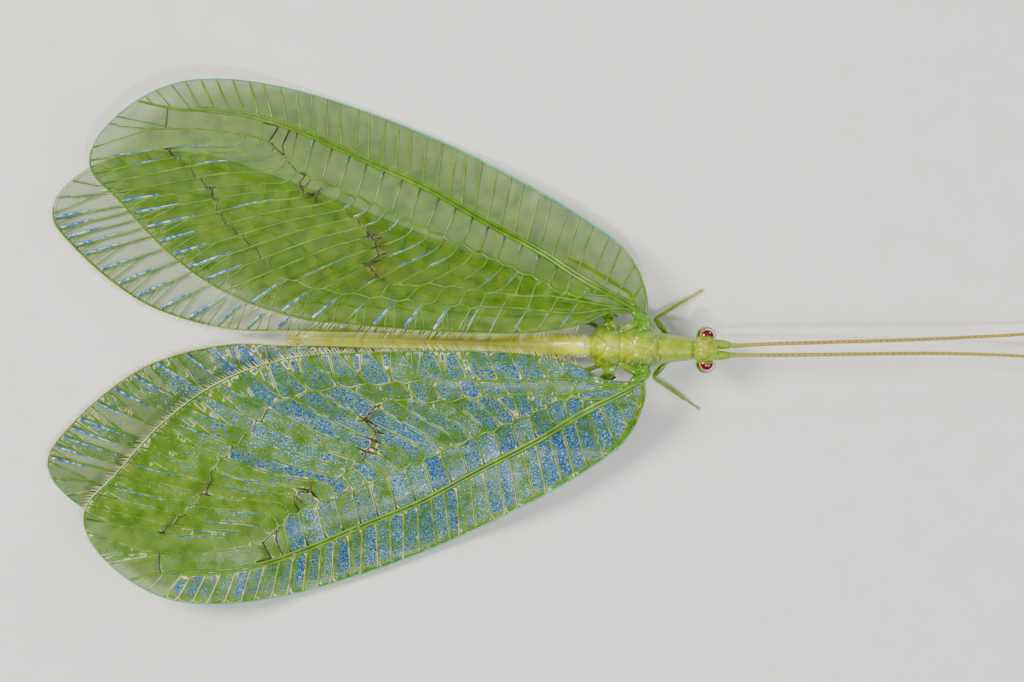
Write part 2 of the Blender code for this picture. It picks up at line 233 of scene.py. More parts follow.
def addTree(obj, tree, values):
    # A Geometry Nodes modifier with its inputs set by the sockets' identifiers
    modifier = obj.modifiers.new(tree.name, "NODES")
    modifier.node_group = tree
    for item in tree.interface.items_tree:
        if item.item_type == "SOCKET" and item.in_out == "INPUT" and item.name in values:
            modifier[item.identifier] = values[item.name]
    return keepResult(obj)


def newTree(name, inputs):
    # A bare geometry tree, addNode for its own nodes and its inputs
    tree = bpy.data.node_groups.new(name, "GeometryNodeTree")
    tree.interface.new_socket("Geometry", in_out="INPUT", socket_type="NodeSocketGeometry")
    for label, kind in inputs.items():
        tree.interface.new_socket(label, in_out="INPUT", socket_type=kind)
    tree.interface.new_socket("Geometry", in_out="OUTPUT", socket_type="NodeSocketGeometry")
    return tree, partial(addNode, tree), addNode(tree, "NodeGroupInput").outputs


def tubeTree():
    # Runs a round tube along every chain of edges, as thick as the chain's own "thick" attribute says
    tree, add, given = newTree("tubes along lines", {
        "Sides": "NodeSocketInt", "Finish": "NodeSocketMaterial"})
    thick = add("GeometryNodeInputNamedAttribute", {"Name": "thick"}, data_type="FLOAT")
    lines = add("GeometryNodeMeshToCurve", {"Mesh": given["Geometry"]})
    sized = add("GeometryNodeSetCurveRadius", {"Curve": lines, "Radius": thick})
    ring = add("GeometryNodeCurvePrimitiveCircle", {
        "Resolution": given["Sides"], "Radius": 1.0}, mode="RADIUS")
    tubes = add("GeometryNodeCurveToMesh", {"Curve": sized, "Profile Curve": ring, "Fill Caps": True})
    if "Scale" in tubes.inputs:
        tree.links.new(thick.outputs[0], tubes.inputs["Scale"])
    plain = add("GeometryNodeRealizeInstances", {"Geometry": tubes})
    smooth = add("GeometryNodeSetShadeSmooth", {"Geometry": plain})
    painted = add("GeometryNodeSetMaterial", {"Geometry": smooth, "Material": given["Finish"]})
    add("NodeGroupOutput", {"Geometry": painted})
    return tree


def bristleTree():
    # Stands a slender cone on every point, along its "lean" and as long as its "reach"
    tree, add, given = newTree("bristles on points", {
        "Sides": "NodeSocketInt", "Slenderness": "NodeSocketFloat", "Finish": "NodeSocketMaterial"})
    lean = add("GeometryNodeInputNamedAttribute", {"Name": "lean"}, data_type="FLOAT_VECTOR")
    reach = add("GeometryNodeInputNamedAttribute", {"Name": "reach"}, data_type="FLOAT")
    cone = add("GeometryNodeMeshCone", {
        "Vertices": given["Sides"], "Radius Top": 0.0, "Radius Bottom": given["Slenderness"], "Depth": 1.0})
    turn = add("FunctionNodeAlignRotationToVector", {"Vector": lean}, axis="Z")
    stand = add("GeometryNodeInstanceOnPoints", {
        "Points": given["Geometry"], "Instance": cone, "Rotation": turn, "Scale": reach})
    plain = add("GeometryNodeRealizeInstances", {"Geometry": stand})
    painted = add("GeometryNodeSetMaterial", {"Geometry": plain, "Material": given["Finish"]})
    add("NodeGroupOutput", {"Geometry": painted})
    return tree


tubesAlongLines = tubeTree()
bristlesOnPoints = bristleTree()


def linesToTubes(name, lines, sides, finish):
    # Lines are lists of (point, radius, tint)
    verts, edges, thick, tint = [], [], [], []
    for line in lines:
        first = len(verts)
        for point, radius, shade in line:
            verts.append(point)
            thick.append(radius * 0.001)
            tint.append(shade)
        edges += [(first + i, first + i + 1) for i in range(len(line) - 1)]
    made = newObject(name, verts, edges, [])
    storeValues(made.data, "thick", thick)
    storeValues(made.data, "tint", tint)
    return addTree(made, tubesAlongLines, {"Sides": sides, "Finish": finish})


def pointsToBristles(name, hairs, sides, slenderness, finish):
    # Hairs are (root, direction, length); each one's bake patch lies at its root's place seen from above
    made = newObject(name, [h[0] for h in hairs], [], [])
    storeValues(made.data, "lean", [tuple(h[1]) for h in hairs], kind="FLOAT_VECTOR")
    storeValues(made.data, "reach", [h[2] * 0.001 for h in hairs])
    storeValues(made.data, "root", [tuple(v.co) for v in made.data.vertices], kind="FLOAT_VECTOR")
    addTree(made, bristlesOnPoints, {"Sides": sides, "Slenderness": slenderness, "Finish": finish})
    mesh = made.data
    corner = np.empty(len(mesh.loops), dtype=np.int32)
    mesh.loops.foreach_get("vertex_index", corner)
    root, place = readVectors(mesh.attributes["root"].data, "vector"), readVectors(mesh.vertices, "co")
    low, high = root.min(0), root.max(0)
    patch = (root[:, :2] - low[:2]) / (max(high[:2] - low[:2]) + 1e-9) * 0.98 + 0.01
    local = (place - root)[:, :2]
    patch = patch + local / (np.abs(local).max() + 1e-9) * 0.0015
    layer = mesh.uv_layers.new(name="OFBake")
    layer.data.foreach_set("uv", patch[corner].astype(np.float32).ravel())
    return made


# Wings, in wing axes: u runs from the hinge to the tip and v towards the front edge
wingMaking = {
    "lineStep": 0.12,
    "filmStep": 0.14,
    "filmJitter": 0.2,
    "filmClear": 0.45,
    "filmThickness": 0.024,
    "aboveUnderside": {"fore": 0.2, "hind": 0.075},
    "fromMidline": 0.17,
    "archHeight": 1.11,
    "hindArch": 0.22,
    "foreAboveHind": 0.86,
    "frontDroop": 0.8,
    "cellBulge": 0.022,
    "edgeInset": 0.07,
    "zigzag": 0.05,
    "sharedRun": 0.3,
    "stepBack": 0.14,
    "veinLift": 0.012,
    "veinGlueWidth": 0.03,
    "veinSides": 6,
    "hairs": {"step": 0.13, "length": (0.08, 0.13), "bareRoot": 0.9},
    "fringe": {"step": 0.1, "length": (0.22, 0.34), "bareRoot": 2.0},
    "seed": 7,
}
foreWing = {
    "hinge": (0.6, 0.95),
    "sweep": {"left": 14.4, "right": 16.1},
    "rearWidth": {"left": 0.95, "right": 1.05},
    "outline": [
        (-0.19, 0.14), (-0.08, 0.62), (0.38, 1.37), (1.1, 2.02), (2.3, 2.5), (4.4, 3.08), (7.4, 3.68),
        (10.4, 3.98), (12.8, 4.0), (14.9, 3.68), (16.4, 3.08), (17.6, 1.95), (18.3, 0.55), (18.15, -0.35),
        (16.9, -1.18), (15.0, -2.35), (13.0, -3.08), (10.6, -3.26), (8.2, -2.85), (5.5, -2.25), (3.3, -1.6),
        (1.9, -0.95), (1.05, -0.24), (0.36, -0.02),
    ],
    "radius": [
        (0.03, 0.12), (0.48, 0.24), (1.72, 0.52), (2.42, 0.7), (3.5, 1.05), (5.61, 1.53), (7.72, 2.05),
        (9.78, 2.34), (11.84, 2.64), (12.85, 2.72), (13.84, 2.7), (15.11, 2.49), (16.05, 2.29), (17.3, 2.2),
    ],
    "sector": [
        (0.9, 0.36), (1.5, 0.26), (2.42, 0.07), (3.3, 0.24), (3.98, 0.34), (5.35, 0.54), (6.72, 0.75),
        (8.11, 0.96), (9.48, 1.17), (10.8, 1.36), (11.88, 1.51), (12.4, 1.88), (13.0, 2.15), (13.7, 2.16),
        (14.5, 2.06), (15.28, 1.9), (16.52, 1.54), (17.7, 1.3),
    ],
    "inner": [
        (0.3, 0.11), (1.25, 0.0), (2.05, -0.1), (3.01, -0.21), (3.76, -0.45), (4.96, -0.62), (6.36, -0.81),
        (7.05, -0.99), (7.71, -1.22), (8.15, -1.17), (8.51, -1.03), (8.75, -0.78), (8.58, -0.42),
        (8.82, 0.02), (9.2, 0.22), (9.78, 0.56), (10.85, 0.82), (11.42, 1.03), (12.3, 1.63),
    ],
    "outer": [
        (0.5, 0.08), (1.2, -0.12), (1.8, -0.42), (2.5, -0.64), (3.68, -0.85), (4.79, -1.13), (6.17, -1.42),
        (7.56, -1.68), (9.02, -1.92), (10.04, -2.05), (11.0, -2.02), (11.56, -1.94), (12.45, -1.41),
        (13.45, -0.85), (13.92, -0.57), (14.2, -0.01), (14.9, 0.4), (15.63, 0.78), (16.25, 1.06),
        (16.55, 1.45),
    ],
    # Dark crossveins between the radius and its sector, the dark cell behind them and the inner mark
    "marks": [
        [(13.25, 2.64), (12.75, 2.67), (12.9, 2.12), (12.31, 1.8), (11.83, 1.47), (11.5, 1.4)],
        [(12.39, 2.65), (12.46, 2.1), (12.31, 1.8)],
        [(11.5, 1.4), (11.61, 1.12), (11.37, 0.84), (11.03, 0.93), (10.82, 1.22)],
        [(11.03, 0.93), (10.9, 0.6)],
        [(16.3, 2.27), (16.18, 1.64)],
        [(8.15, -1.17), (8.51, -1.06), (8.78, -0.8), (8.54, -0.41), (8.82, 0.02), (9.13, 0.18)],
        [(8.78, -0.8), (9.03, -0.84)], [(8.54, -0.41), (8.3, -0.27)], [(8.82, 0.02), (8.6, 0.17)],
    ],
    "fusedUntil": {"inner": 7.75, "outer": 11.3},
    "costalVeins": 33,
    "costalLean": ((0.4, 2.0, 5.0, 10.0, 14.0, 16.0), (-0.33, -0.05, 0.12, 0.25, 0.7, 1.1)),
    "subcosta": 0.11,
    "radialVeins": (18, 0.04, 0.68),
    "branches": 20,
    "branchFeet": ((0.19, 0.224, 0.33, 0.43, 0.506, 0.624, 0.712, 0.762),
                   (0.285, 0.325, 0.5, 0.67, 0.755, 0.88, 0.945, 0.982)),
    "kink": (0.14, -0.38),
    "rearVeins": (5, 0.12, 0.27),
    "basalVeins": (5, 0.07, 0.18),
    "darkSpots": [(8.7, -0.35, 1.15), (11.2, 0.95, 0.5), (14.2, 0.05, 0.5), (16.0, 0.95, 0.7)],
    "glintReach": {"left": 17.1, "right": 0.0},
}
hindWing = {
    "hinge": (-0.45, 0.95),
    "sweep": {"left": 9.4, "right": 10.9},
    "rearWidth": {"left": 0.96, "right": 1.05},
    "outline": [
        (-0.31, 0.14), (0.6, 0.42), (3.0, 0.9), (6.0, 1.45), (9.0, 2.02), (11.5, 2.46), (13.6, 2.68),
        (15.2, 2.47), (16.6, 1.95), (17.6, 1.15), (18.12, 0.25), (18.0, -0.45), (17.2, -1.17), (15.8, -2.05),
        (14.3, -2.65), (11.9, -2.87), (9.65, -2.5), (7.3, -2.07), (4.85, -1.63), (2.6, -1.05), (1.85, -0.72),
        (1.18, -0.5), (0.41, 0.01),
    ],
    "radius": [
        (0.0, 0.12), (0.9, 0.3), (3.0, 0.62), (6.0, 1.12), (9.0, 1.66), (11.5, 2.06), (13.5, 2.22),
        (15.6, 1.92), (17.0, 1.35),
    ],
    "sector": [
        (0.9, 0.22), (2.0, 0.16), (3.4, 0.2), (6.0, 0.5), (9.0, 0.9), (12.0, 1.25), (14.0, 1.35),
        (16.0, 1.0), (17.6, 0.5),
    ],
    "inner": [
        (0.7, 0.1), (2.0, -0.1), (3.4, -0.22), (5.0, -0.32), (7.0, -0.52), (8.2, -0.62), (9.0, -0.2),
        (10.4, 0.35), (12.0, 0.72), (13.6, 1.1),
    ],
    "outer": [
        (0.8, 0.0), (2.0, -0.45), (3.4, -0.72), (6.0, -1.0), (9.0, -1.4), (10.6, -1.55), (11.6, -1.5),
        (12.8, -1.1), (14.4, -0.25), (15.6, 0.5),
    ],
    "fusedUntil": {"inner": 8.3, "outer": 11.0},
    "costalVeins": 24,
    "costalLean": ((0.4, 5.0, 10.0, 15.0), (0.2, 0.35, 0.6, 1.0)),
    "subcosta": 0.09,
    "radialVeins": (14, 0.05, 0.7),
    "branches": 18,
    "branchFeet": ((0.2, 0.3, 0.42, 0.54, 0.66, 0.8), (0.27, 0.42, 0.6, 0.77, 0.9, 0.98)),
    "kink": (0.12, -0.3),
    "rearVeins": (5, 0.1, 0.25),
    "basalVeins": (4, 0.07, 0.18),
    "darkSpots": [(8.6, -0.45, 0.4), (12.9, -1.0, 0.3), (14.6, -0.1, 0.35), (15.2, 0.9, 0.3)],
    "glintReach": {"left": 20.0, "right": 20.0},
}
# Half widths of the veins, millimetres, and their tints where those aren't nought
veinRadii = {"costa": 0.032, "radius": 0.064, "subcosta": 0.05, "long": 0.04, "cross": 0.03, "fork": 0.021,
             "mark": 0.024, "rim": 0.03}
veinTints = {"costa": -0.4, "radius": -0.4, "subcosta": -0.4, "long": -0.4, "step": 0.62, "mark": 0.95}


def zigzag(path, joints, size):
    # A long vein bent a little towards each vein that joins it; also gives any point on the bent vein
    joints = sorted(joints)
    at = [f for f, _ in joints] or [0.0]
    off = [side * size for _, side in joints] or [0.0]

    def place(f):
        ahead = pointAlong(path, min(f + 0.008, 1.0)) - pointAlong(path, max(f - 0.008, 0.0))
        return pointAlong(path, f) + Vector((-ahead.y, ahead.x)).normalized() * float(np.interp(f, at, off))

    steps = round(pathLength(path) / wingMaking["lineStep"])
    stops = sorted({k / steps for k in range(steps + 1)} | set(at))
    return [place(f) for f in stops], place


def partOf(path, start, end, first, last):
    # The part of a path between two fractions, moved so that it runs from one given point to another
    steps = max(2, round((end - start) * pathLength(path) / wingMaking["lineStep"]))
    piece = [pointAlong(path, blend(start, end, k / steps)) for k in range(steps + 1)]
    fromStart, toEnd = first - piece[0], last - piece[-1]
    return [p + fromStart.lerp(toEnd, k / steps) for k, p in enumerate(piece)]


def straight(a, b):
    steps = max(2, round((b - a).length / wingMaking["lineStep"]))
    return [a.lerp(b, k / steps) for k in range(steps + 1)]


def planVeins(shape):
    # Every vein of one wing as (kind, path in wing axes), the rear rim and the front edge first; and the edge
    step, chance = wingMaking["lineStep"], random.Random(wingMaking["seed"])
    edge = smoothPath(shape["outline"][:-1], step) + [Vector(shape["outline"][-1])]
    edge = pathBeside(edge, -wingMaking["edgeInset"])
    tip = max(range(len(edge)), key=lambda i: edge[i].x)
    front, rear = edge[:tip + 1], edge[tip:][::-1]
    rearLength, radius = pathLength(rear), smoothPath(shape["radius"], step)
    subcosta = pathBeside(radius, shape["subcosta"])[3:round(len(radius) * 0.9)]
    veins = [("rim", rear), ("costa", front), ("radius", radius), ("subcosta", subcosta)]
    chains = {name: smoothPath(shape[name], step) for name in ("sector", "inner", "outer")}
    shared = {name: wingMaking["sharedRun"] / pathLength(path) for name, path in chains.items()}
    joints = {name: [] for name in chains}

    count = shape["costalVeins"]
    for k in range(count):
        foot = pointAlong(subcosta, 0.01 + 0.98 * k / (count - 1))
        lean = float(np.interp(foot.x, *shape["costalLean"])) + chance.uniform(-0.06, 0.06)
        hit = crossing([foot, foot + Vector((lean, 1.0)) * 4], front)
        if hit:
            veins.append(("costal", straight(foot, hit[0])))

    # The branches of the sector run back to the rear edge and cross the two rows of steps
    branches, feet, count = [], shape["branchFeet"], shape["branches"]
    branchStep = (feet[0][-1] - feet[0][0]) / (count - 1)
    for k in range(count):
        f = blend(feet[0][0], feet[0][-1], k / (count - 1))
        start, end = pointAlong(chains["sector"], f), pointAlong(rear, float(np.interp(f, *feet)))
        bend = start + Vector(shape["kink"])
        aside = (end - bend).orthogonal()
        sway = [bend.lerp(end, at) + aside * by for at, by in ((0.35, 0.02), (0.7, 0.012))]
        path = smoothPath([start, bend, *sway, end], step)
        joints["sector"].append((f, -1))
        meets = []
        for name in ("inner", "outer"):
            hit = crossing(path, chains[name])
            fused = bool(hit) and hit[0].x < shape["fusedUntil"][name]
            if fused:
                joints[name] += [(hit[1], 1), (hit[1] + shared[name], -1)]
            meets.append((hit, fused))
        branches.append((f, path, meets))
    count, low, high = shape["radialVeins"]
    radials = [blend(low, high, (k + 0.5) / count) for k in range(count)]
    count, low, high = shape["basalVeins"]
    basal = [blend(low, high, k / (count - 1)) for k in range(count)]
    joints["sector"] += [(f, 1) for f in radials] + [(f, -1) for f in basal]
    bentAt = {}
    for name, path in chains.items():
        bent, bentAt[name] = zigzag(path, joints[name], wingMaking["zigzag"])
        last = shape["fusedUntil"].get(name, 99.0) + 0.15
        veins.append(("long", [p for i, p in enumerate(bent) if p.x < last or i < len(bent) // 3]))
    for f in radials:
        foot = bentAt["sector"](f)
        along = nearestAlong(radius, foot + Vector((0.12, 0.1)))[1]
        veins.append(("radial", straight(pointAlong(radius, along), foot)))
    for f in basal:
        foot = bentAt["sector"](f)
        along = nearestAlong(chains["inner"], foot + Vector((0.15, -0.2)))[1]
        veins.append(("cross", straight(foot, bentAt["inner"](along))))
    count, low, high = shape["rearVeins"]
    for k in range(count):
        end = pointAlong(rear, blend(low, high, k / (count - 1)))
        foot = bentAt["outer"](nearestAlong(chains["outer"], end + Vector((-0.35, 0.3)))[1])
        over = bentAt["inner"](nearestAlong(chains["inner"], foot + Vector((-0.15, 0.2)))[1])
        veins += [("rear", straight(foot, end)), ("cross", straight(over, foot))]

    # Beyond them the tip is closed by a fan of veins
    for line, fans in ((radius, ((0.9, 0.85), (0.935, 0.75), (0.97, 0.6))),
                       (chains["sector"], ((0.9, 0.22), (1.0, 0.0), (0.93, -0.32), (0.86, -0.3)))):
        for f, turn in fans:
            foot = pointAlong(line, f)
            ahead = Matrix.Rotation(turn, 2) @ (foot - pointAlong(line, f - 0.03)).normalized()
            hit = crossing([foot, foot + ahead * 3], edge)
            if hit:
                veins.append(("fork", straight(foot, hit[0])))
    marks = [[Vector(p) for p in mark] for mark in shape.get("marks", [])]
    veins += [("mark", straight(a, b)) for mark in marks for a, b in zip(mark, mark[1:])]

    steps = {"inner": [], "outer": []}
    for k, (f, path, meets) in enumerate(branches):
        at, here = 0.0, bentAt["sector"](f)
        for (hit, fused), name in zip(meets, steps):
            if not hit:
                steps[name].append(None)
                continue
            along = nearestAlong(path, hit[0])[1]
            arrives = bentAt[name](hit[1]) if fused else hit[0]
            veins.append(("branch", partOf(path, at, along, here, arrives)))
            at, here = along, bentAt[name](hit[1] + shared[name]) if fused else hit[0]
            steps[name].append(None if fused else (path, along))
        piece = partOf(path, at, 1.0, here, path[-1])
        veins.append(("rear", piece))
        length = pathLength(piece)
        if length > 0.5:
            # Each branch forks before the edge, twice where the branches stand far apart
            foot = nearestAlong(rear, path[-1])[1]
            apart = foot - float(np.interp(f - branchStep, *feet)) if k else 0.4 / rearLength
            forks = 2 if apart * rearLength > 0.58 and length > 0.9 else 1
            for n in range(1, forks + 1):
                back = min(0.2 + 0.7 * n, length * (0.9 if n == forks else 0.6)) * chance.uniform(0.85, 1.0)
                end = pointAlong(rear, foot - apart * n / (forks + 1))
                veins.append(("fork", straight(pointAlong(piece, 1.0 - back / length), end)))
    for name, found in steps.items():
        for one, other in zip(found, found[1:]):
            marked = marks and name == "inner" and other and not 9.3 < pointAlong(*other).x < 10.5
            if one and other and not marked:
                end = pointAlong(other[0], max(other[1] - wingMaking["stepBack"] / pathLength(other[0]), 0.0))
                veins.append(("step", straight(pointAlong(*one), end)))
    return veins, edge


def frontEdge(shape):
    # A coarse run of the front edge round the tip, to measure from
    return smoothPath(shape["outline"][:14], 0.75)


def levelAt(points, x):
    # How far forward a long vein lies at x
    return float(np.interp(x, *zip(*points)))


def wingPlacer(shape, side, fore):
    # Turns wing axes into the insect's, at the height where the solid wing lies
    turn = math.radians(shape["sweep"][side])
    c, s = math.cos(turn), math.sin(turn)
    sign = 1 if side == "left" else -1
    front = frontEdge(shape)

    def place(p, up=0.0):
        v = p.y * (shape["rearWidth"][side] if p.y < 0 else 1.0)
        x = shape["hinge"][0] - p.x * c + v * s
        y = max(shape["hinge"][1] + p.x * s + v * c, wingMaking["fromMidline"])
        # Highest over the abdomen, falling away to the side, behind it and a little towards the hinge
        out = ease((-5.0 - x) / 3.5)
        start, end = blend(1.1, 0.55, out), blend(3.6, 2.8, out)
        over = 1.0 - ease((y - start) / (end - start))
        over *= (1.0 - ease((-9.6 - x) / 4.2)) * (1.0 - 0.12 * ease((x + 1.0) / 1.5))
        z = wingMaking["archHeight"] * over + wingMaking["aboveUnderside"]["fore" if fore else "hind"]
        if fore:
            # The front edge droops along the middle of its length
            along = wingMaking["frontDroop"] * ease((p.x - 3.0) / 5.0) * (1.0 - ease((p.x - 11.5) / 4.0))
            z += wingMaking["foreAboveHind"] - along * (1.0 - ease(nearestAlong(front, p)[0] / 2.2))
        else:
            z += wingMaking["hindArch"] * over
        return Vector((x, sign * y, z + up))

    return place


def darkness(shape, p):
    # How far a place lies within the dark spots: 1 in their inner third and nought at their rims
    return max(1.0 - ease(((p - Vector((x, y))).length / reach - 0.35) / 0.65)
               for x, y, reach in shape["darkSpots"])


def chainGap(chains, p):
    return min(nearestAlong(chain, p)[0] for chain in chains)


def makeVeins(name, shape, veins, place, finish):
    # A tint below nought is the green of the stout veins, down to the blue green edge; above it they darken
    lines, chains = [], [smoothPath(shape[k], wingMaking["lineStep"]) for k in ("inner", "outer")]
    for kind, path in veins:
        line = []
        for k, p in enumerate(path):
            t = k / (len(path) - 1)
            thick, tint = veinRadii.get(kind, veinRadii["cross"]), veinTints.get(kind, 0.0)
            if kind in ("radius", "long", "costa", "subcosta"):
                thick *= 1.25 - 0.65 * t
            if kind == "costa":
                tint -= 0.6 * ease(p.x / 2.0)
            elif kind == "radial":
                tint = 0.85 * (1.0 - ease(t * 2.2))
            elif kind in ("fork", "rear"):
                tint = 0.5 * ease((t - 0.75) * 5)
            dark = darkness(shape, p) if kind in ("step", "branch", "long", "radial") else 0.0
            if dark > 0.0 and kind != "step":
                dark *= 1.0 - ease((chainGap(chains, p) - 0.1) / 0.3)
            if dark > 0.05:
                tint = max(tint, dark)
            thick *= 1.0 + 0.12 * max(tint, 0.0)
            line.append((place(p, wingMaking["veinLift"]), thick, tint))
        # Both ends are drawn out to blunt points
        for at, beside in ((0, 1), (-1, -2)):
            (p, thick, tint), inner = line[at], line[beside][0]
            tip = (p + (p - inner).normalized() * thick * 0.7, thick * 0.45, tint)
            line.insert(0 if at == 0 else len(line), tip)
        lines.append(line)
    return linesToTubes(name, lines, wingMaking["veinSides"], finish)


def flatTree(points):
    tree = KDTree(len(points))
    for i, p in enumerate(points):
        tree.insert((p.x, p.y, 0), i)
    tree.balance()
    return tree


def turnOutward(mesh):
    work = bmesh.new()
    work.from_mesh(mesh)
    bmesh.ops.recalc_face_normals(work, faces=work.faces)
    work.to_mesh(mesh)
    work.free()


def makeFilm(name, shape, veins, edge, place, glints, finish):
    # The film between the veins: one closed thin sheet whose cells are told apart by the veins round them
    chance, step = random.Random(wingMaking["seed"] + 1), wingMaking["filmStep"]
    plan, bonds = [p.copy() for p in edge], [(i, (i + 1) % len(edge)) for i in range(len(edge))]
    for _, path in veins[2:]:
        first = len(plan)
        plan += path
        bonds += [(first + i, first + i + 1) for i in range(len(path) - 1)]
    tree = flatTree(plan)
    low, high = (Vector((limit(p.x for p in edge), limit(p.y for p in edge))) for limit in (min, max))
    row, v, jitter = 0, low.y, wingMaking["filmJitter"]
    while v < high.y:
        u = low.x + (row % 2) * step / 2
        while u < high.x:
            p = Vector([c + chance.uniform(-jitter, jitter) * step for c in (u, v)])
            if tree.find((p.x, p.y, 0))[2] > step * wingMaking["filmClear"]:
                plan.append(p)
            u += step
        v += step * 0.87
        row += 1
    flat, lines, tris, _, fromLines, _ = delaunay_2d_cdt(plan, bonds, [], 1, 0.0005)
    held = {tuple(sorted(e)) for e, source in zip(lines, fromLines) if source}
    owner = list(range(len(tris)))

    def root(i):
        while owner[i] != i:
            owner[i] = owner[owner[i]]
            i = owner[i]
        return i

    seen, rim = {}, {}
    for t, tri in enumerate(tris):
        for a, b in zip(tri, tri[1:] + tri[:1]):
            key = tuple(sorted((a, b)))
            if key in seen:
                rim.pop(key, None)
                if key not in held:
                    owner[root(t)] = root(seen[key])
            else:
                seen[key] = t
                rim[key] = (a, b)
    middle, parts = {}, {}
    for t, tri in enumerate(tris):
        a, b, c = (flat[i] for i in tri)
        area, cell = abs((b - a).cross(c - a)) / 2, root(t)
        middle[cell] = middle.get(cell, Vector((0.0, 0.0))) + (a + b + c) / 3 * area
        parts[cell] = parts.get(cell, 0.0) + area
    tone, shimmer, warm, sway = {}, {}, {}, {}
    for c in middle:
        centre = middle[c] / max(parts[c], 1e-9)
        tone[c], sway[c] = chance.random(), chance.choice((-1, 1)) * chance.uniform(0.5, 1.0)
        shimmer[c], warm[c] = glints(centre, chance)
    lineTree = flatTree([p for _, path in veins for p in path])
    swayAt = [0.0] * len(flat)
    for t, tri in enumerate(tris):
        for i in tri:
            swayAt[i] = sway[root(t)]
    gaps, margins, nears, top, under = [], [], [], [], []
    front, half = frontEdge(shape), wingMaking["filmThickness"] / 2
    chains = [smoothPath(shape[k], wingMaking["lineStep"]) for k in ("inner", "outer")]
    for i, p in enumerate(flat):
        spot, _, gap = lineTree.find((p.x, p.y, 0))
        gaps.append(max(gap - wingMaking["veinGlueWidth"], 0.0))
        # Outer cells of the front row are lit only in the half that is nearer the hinge
        ahead = p.y > levelAt(shape["radius"], p.x) and spot.x > p.x
        lit = 1.0 - (0.75 * ease((p.x - 8.5) / 2.0) if ahead else 0.0)
        margins.append(max(min(gaps[i] * lit, (nearestAlong(front, p)[0] - 0.16) * 0.4), 0.0))
        nears.append(1.0 - ease((chainGap(chains, p) - 0.14) / 0.34) if darkness(shape, p) > 0.05 else 0.0)
        lift = wingMaking["cellBulge"] * ease(gaps[i] / 0.2) * swayAt[i]
        top.append(place(p, lift + half))
        under.append(place(p, lift - half))
    count = len(flat)
    faces = [tuple(t) for t in tris] + [tuple(i + count for i in reversed(t)) for t in tris]
    faces += [(b, a, a + count, b + count) for a, b in rim.values()]
    made = newObject(name, top + under, [], faces)
    for label, values in (("gap", gaps), ("margin", margins), ("near", nears)):
        storeValues(made.data, label, values * 2)
    cells = [root(t) for t in range(len(tris))] * 2 + [root(seen[key]) for key in rim]
    for label, values in (("cell", tone), ("shimmer", shimmer), ("warm", warm)):
        storeValues(made.data, label, [values[c] for c in cells], "FACE")
    turnOutward(made.data)
    made.data.materials.append(finish)
    made.data.shade_smooth()
    return made


def makeWingHairs(name, veins, place, finish):
    # A fringe round the rear edge and tip, and short bristles along the veins
    chance, hairs = random.Random(wingMaking["seed"] + 2), []
    for kind, path in [vein for vein in veins if vein[0] != "fork"]:
        making = wingMaking["fringe" if kind == "rim" else "hairs"]
        count = max(1, round(pathLength(path) / making["step"]))
        for k in range(count):
            f = (k + chance.uniform(0.2, 0.8)) / count
            p = pointAlong(path, f)
            if p.length < making["bareRoot"]:
                continue
            ahead = place(pointAlong(path, min(f + 0.02, 1.0))) - place(pointAlong(path, max(f - 0.02, 0.0)))
            ahead = ahead.normalized()
            across = ahead.cross(upward).normalized()
            if kind == "rim":
                outward = place(p + Vector((0.2, 0.0) if p.x > 17.0 else (0.0, -0.2))) - place(p)
                across *= 1 if across.dot(outward) > 0 else -1
                lean = across + ahead * 0.8 + Vector((0, 0, chance.uniform(-0.08, 0.16)))
            elif kind == "costa":
                lean = ahead * 0.9 + upward * 0.5 + across * chance.uniform(-0.3, 0.3)
            else:
                lean = ahead * 0.7 + across * chance.uniform(-0.6, 0.6) + upward * 0.7
            hairs.append((place(p, 0.02), lean.normalized(), chance.uniform(*making["length"])))
    return pointsToBristles(name, hairs, 3, 0.06, finish)


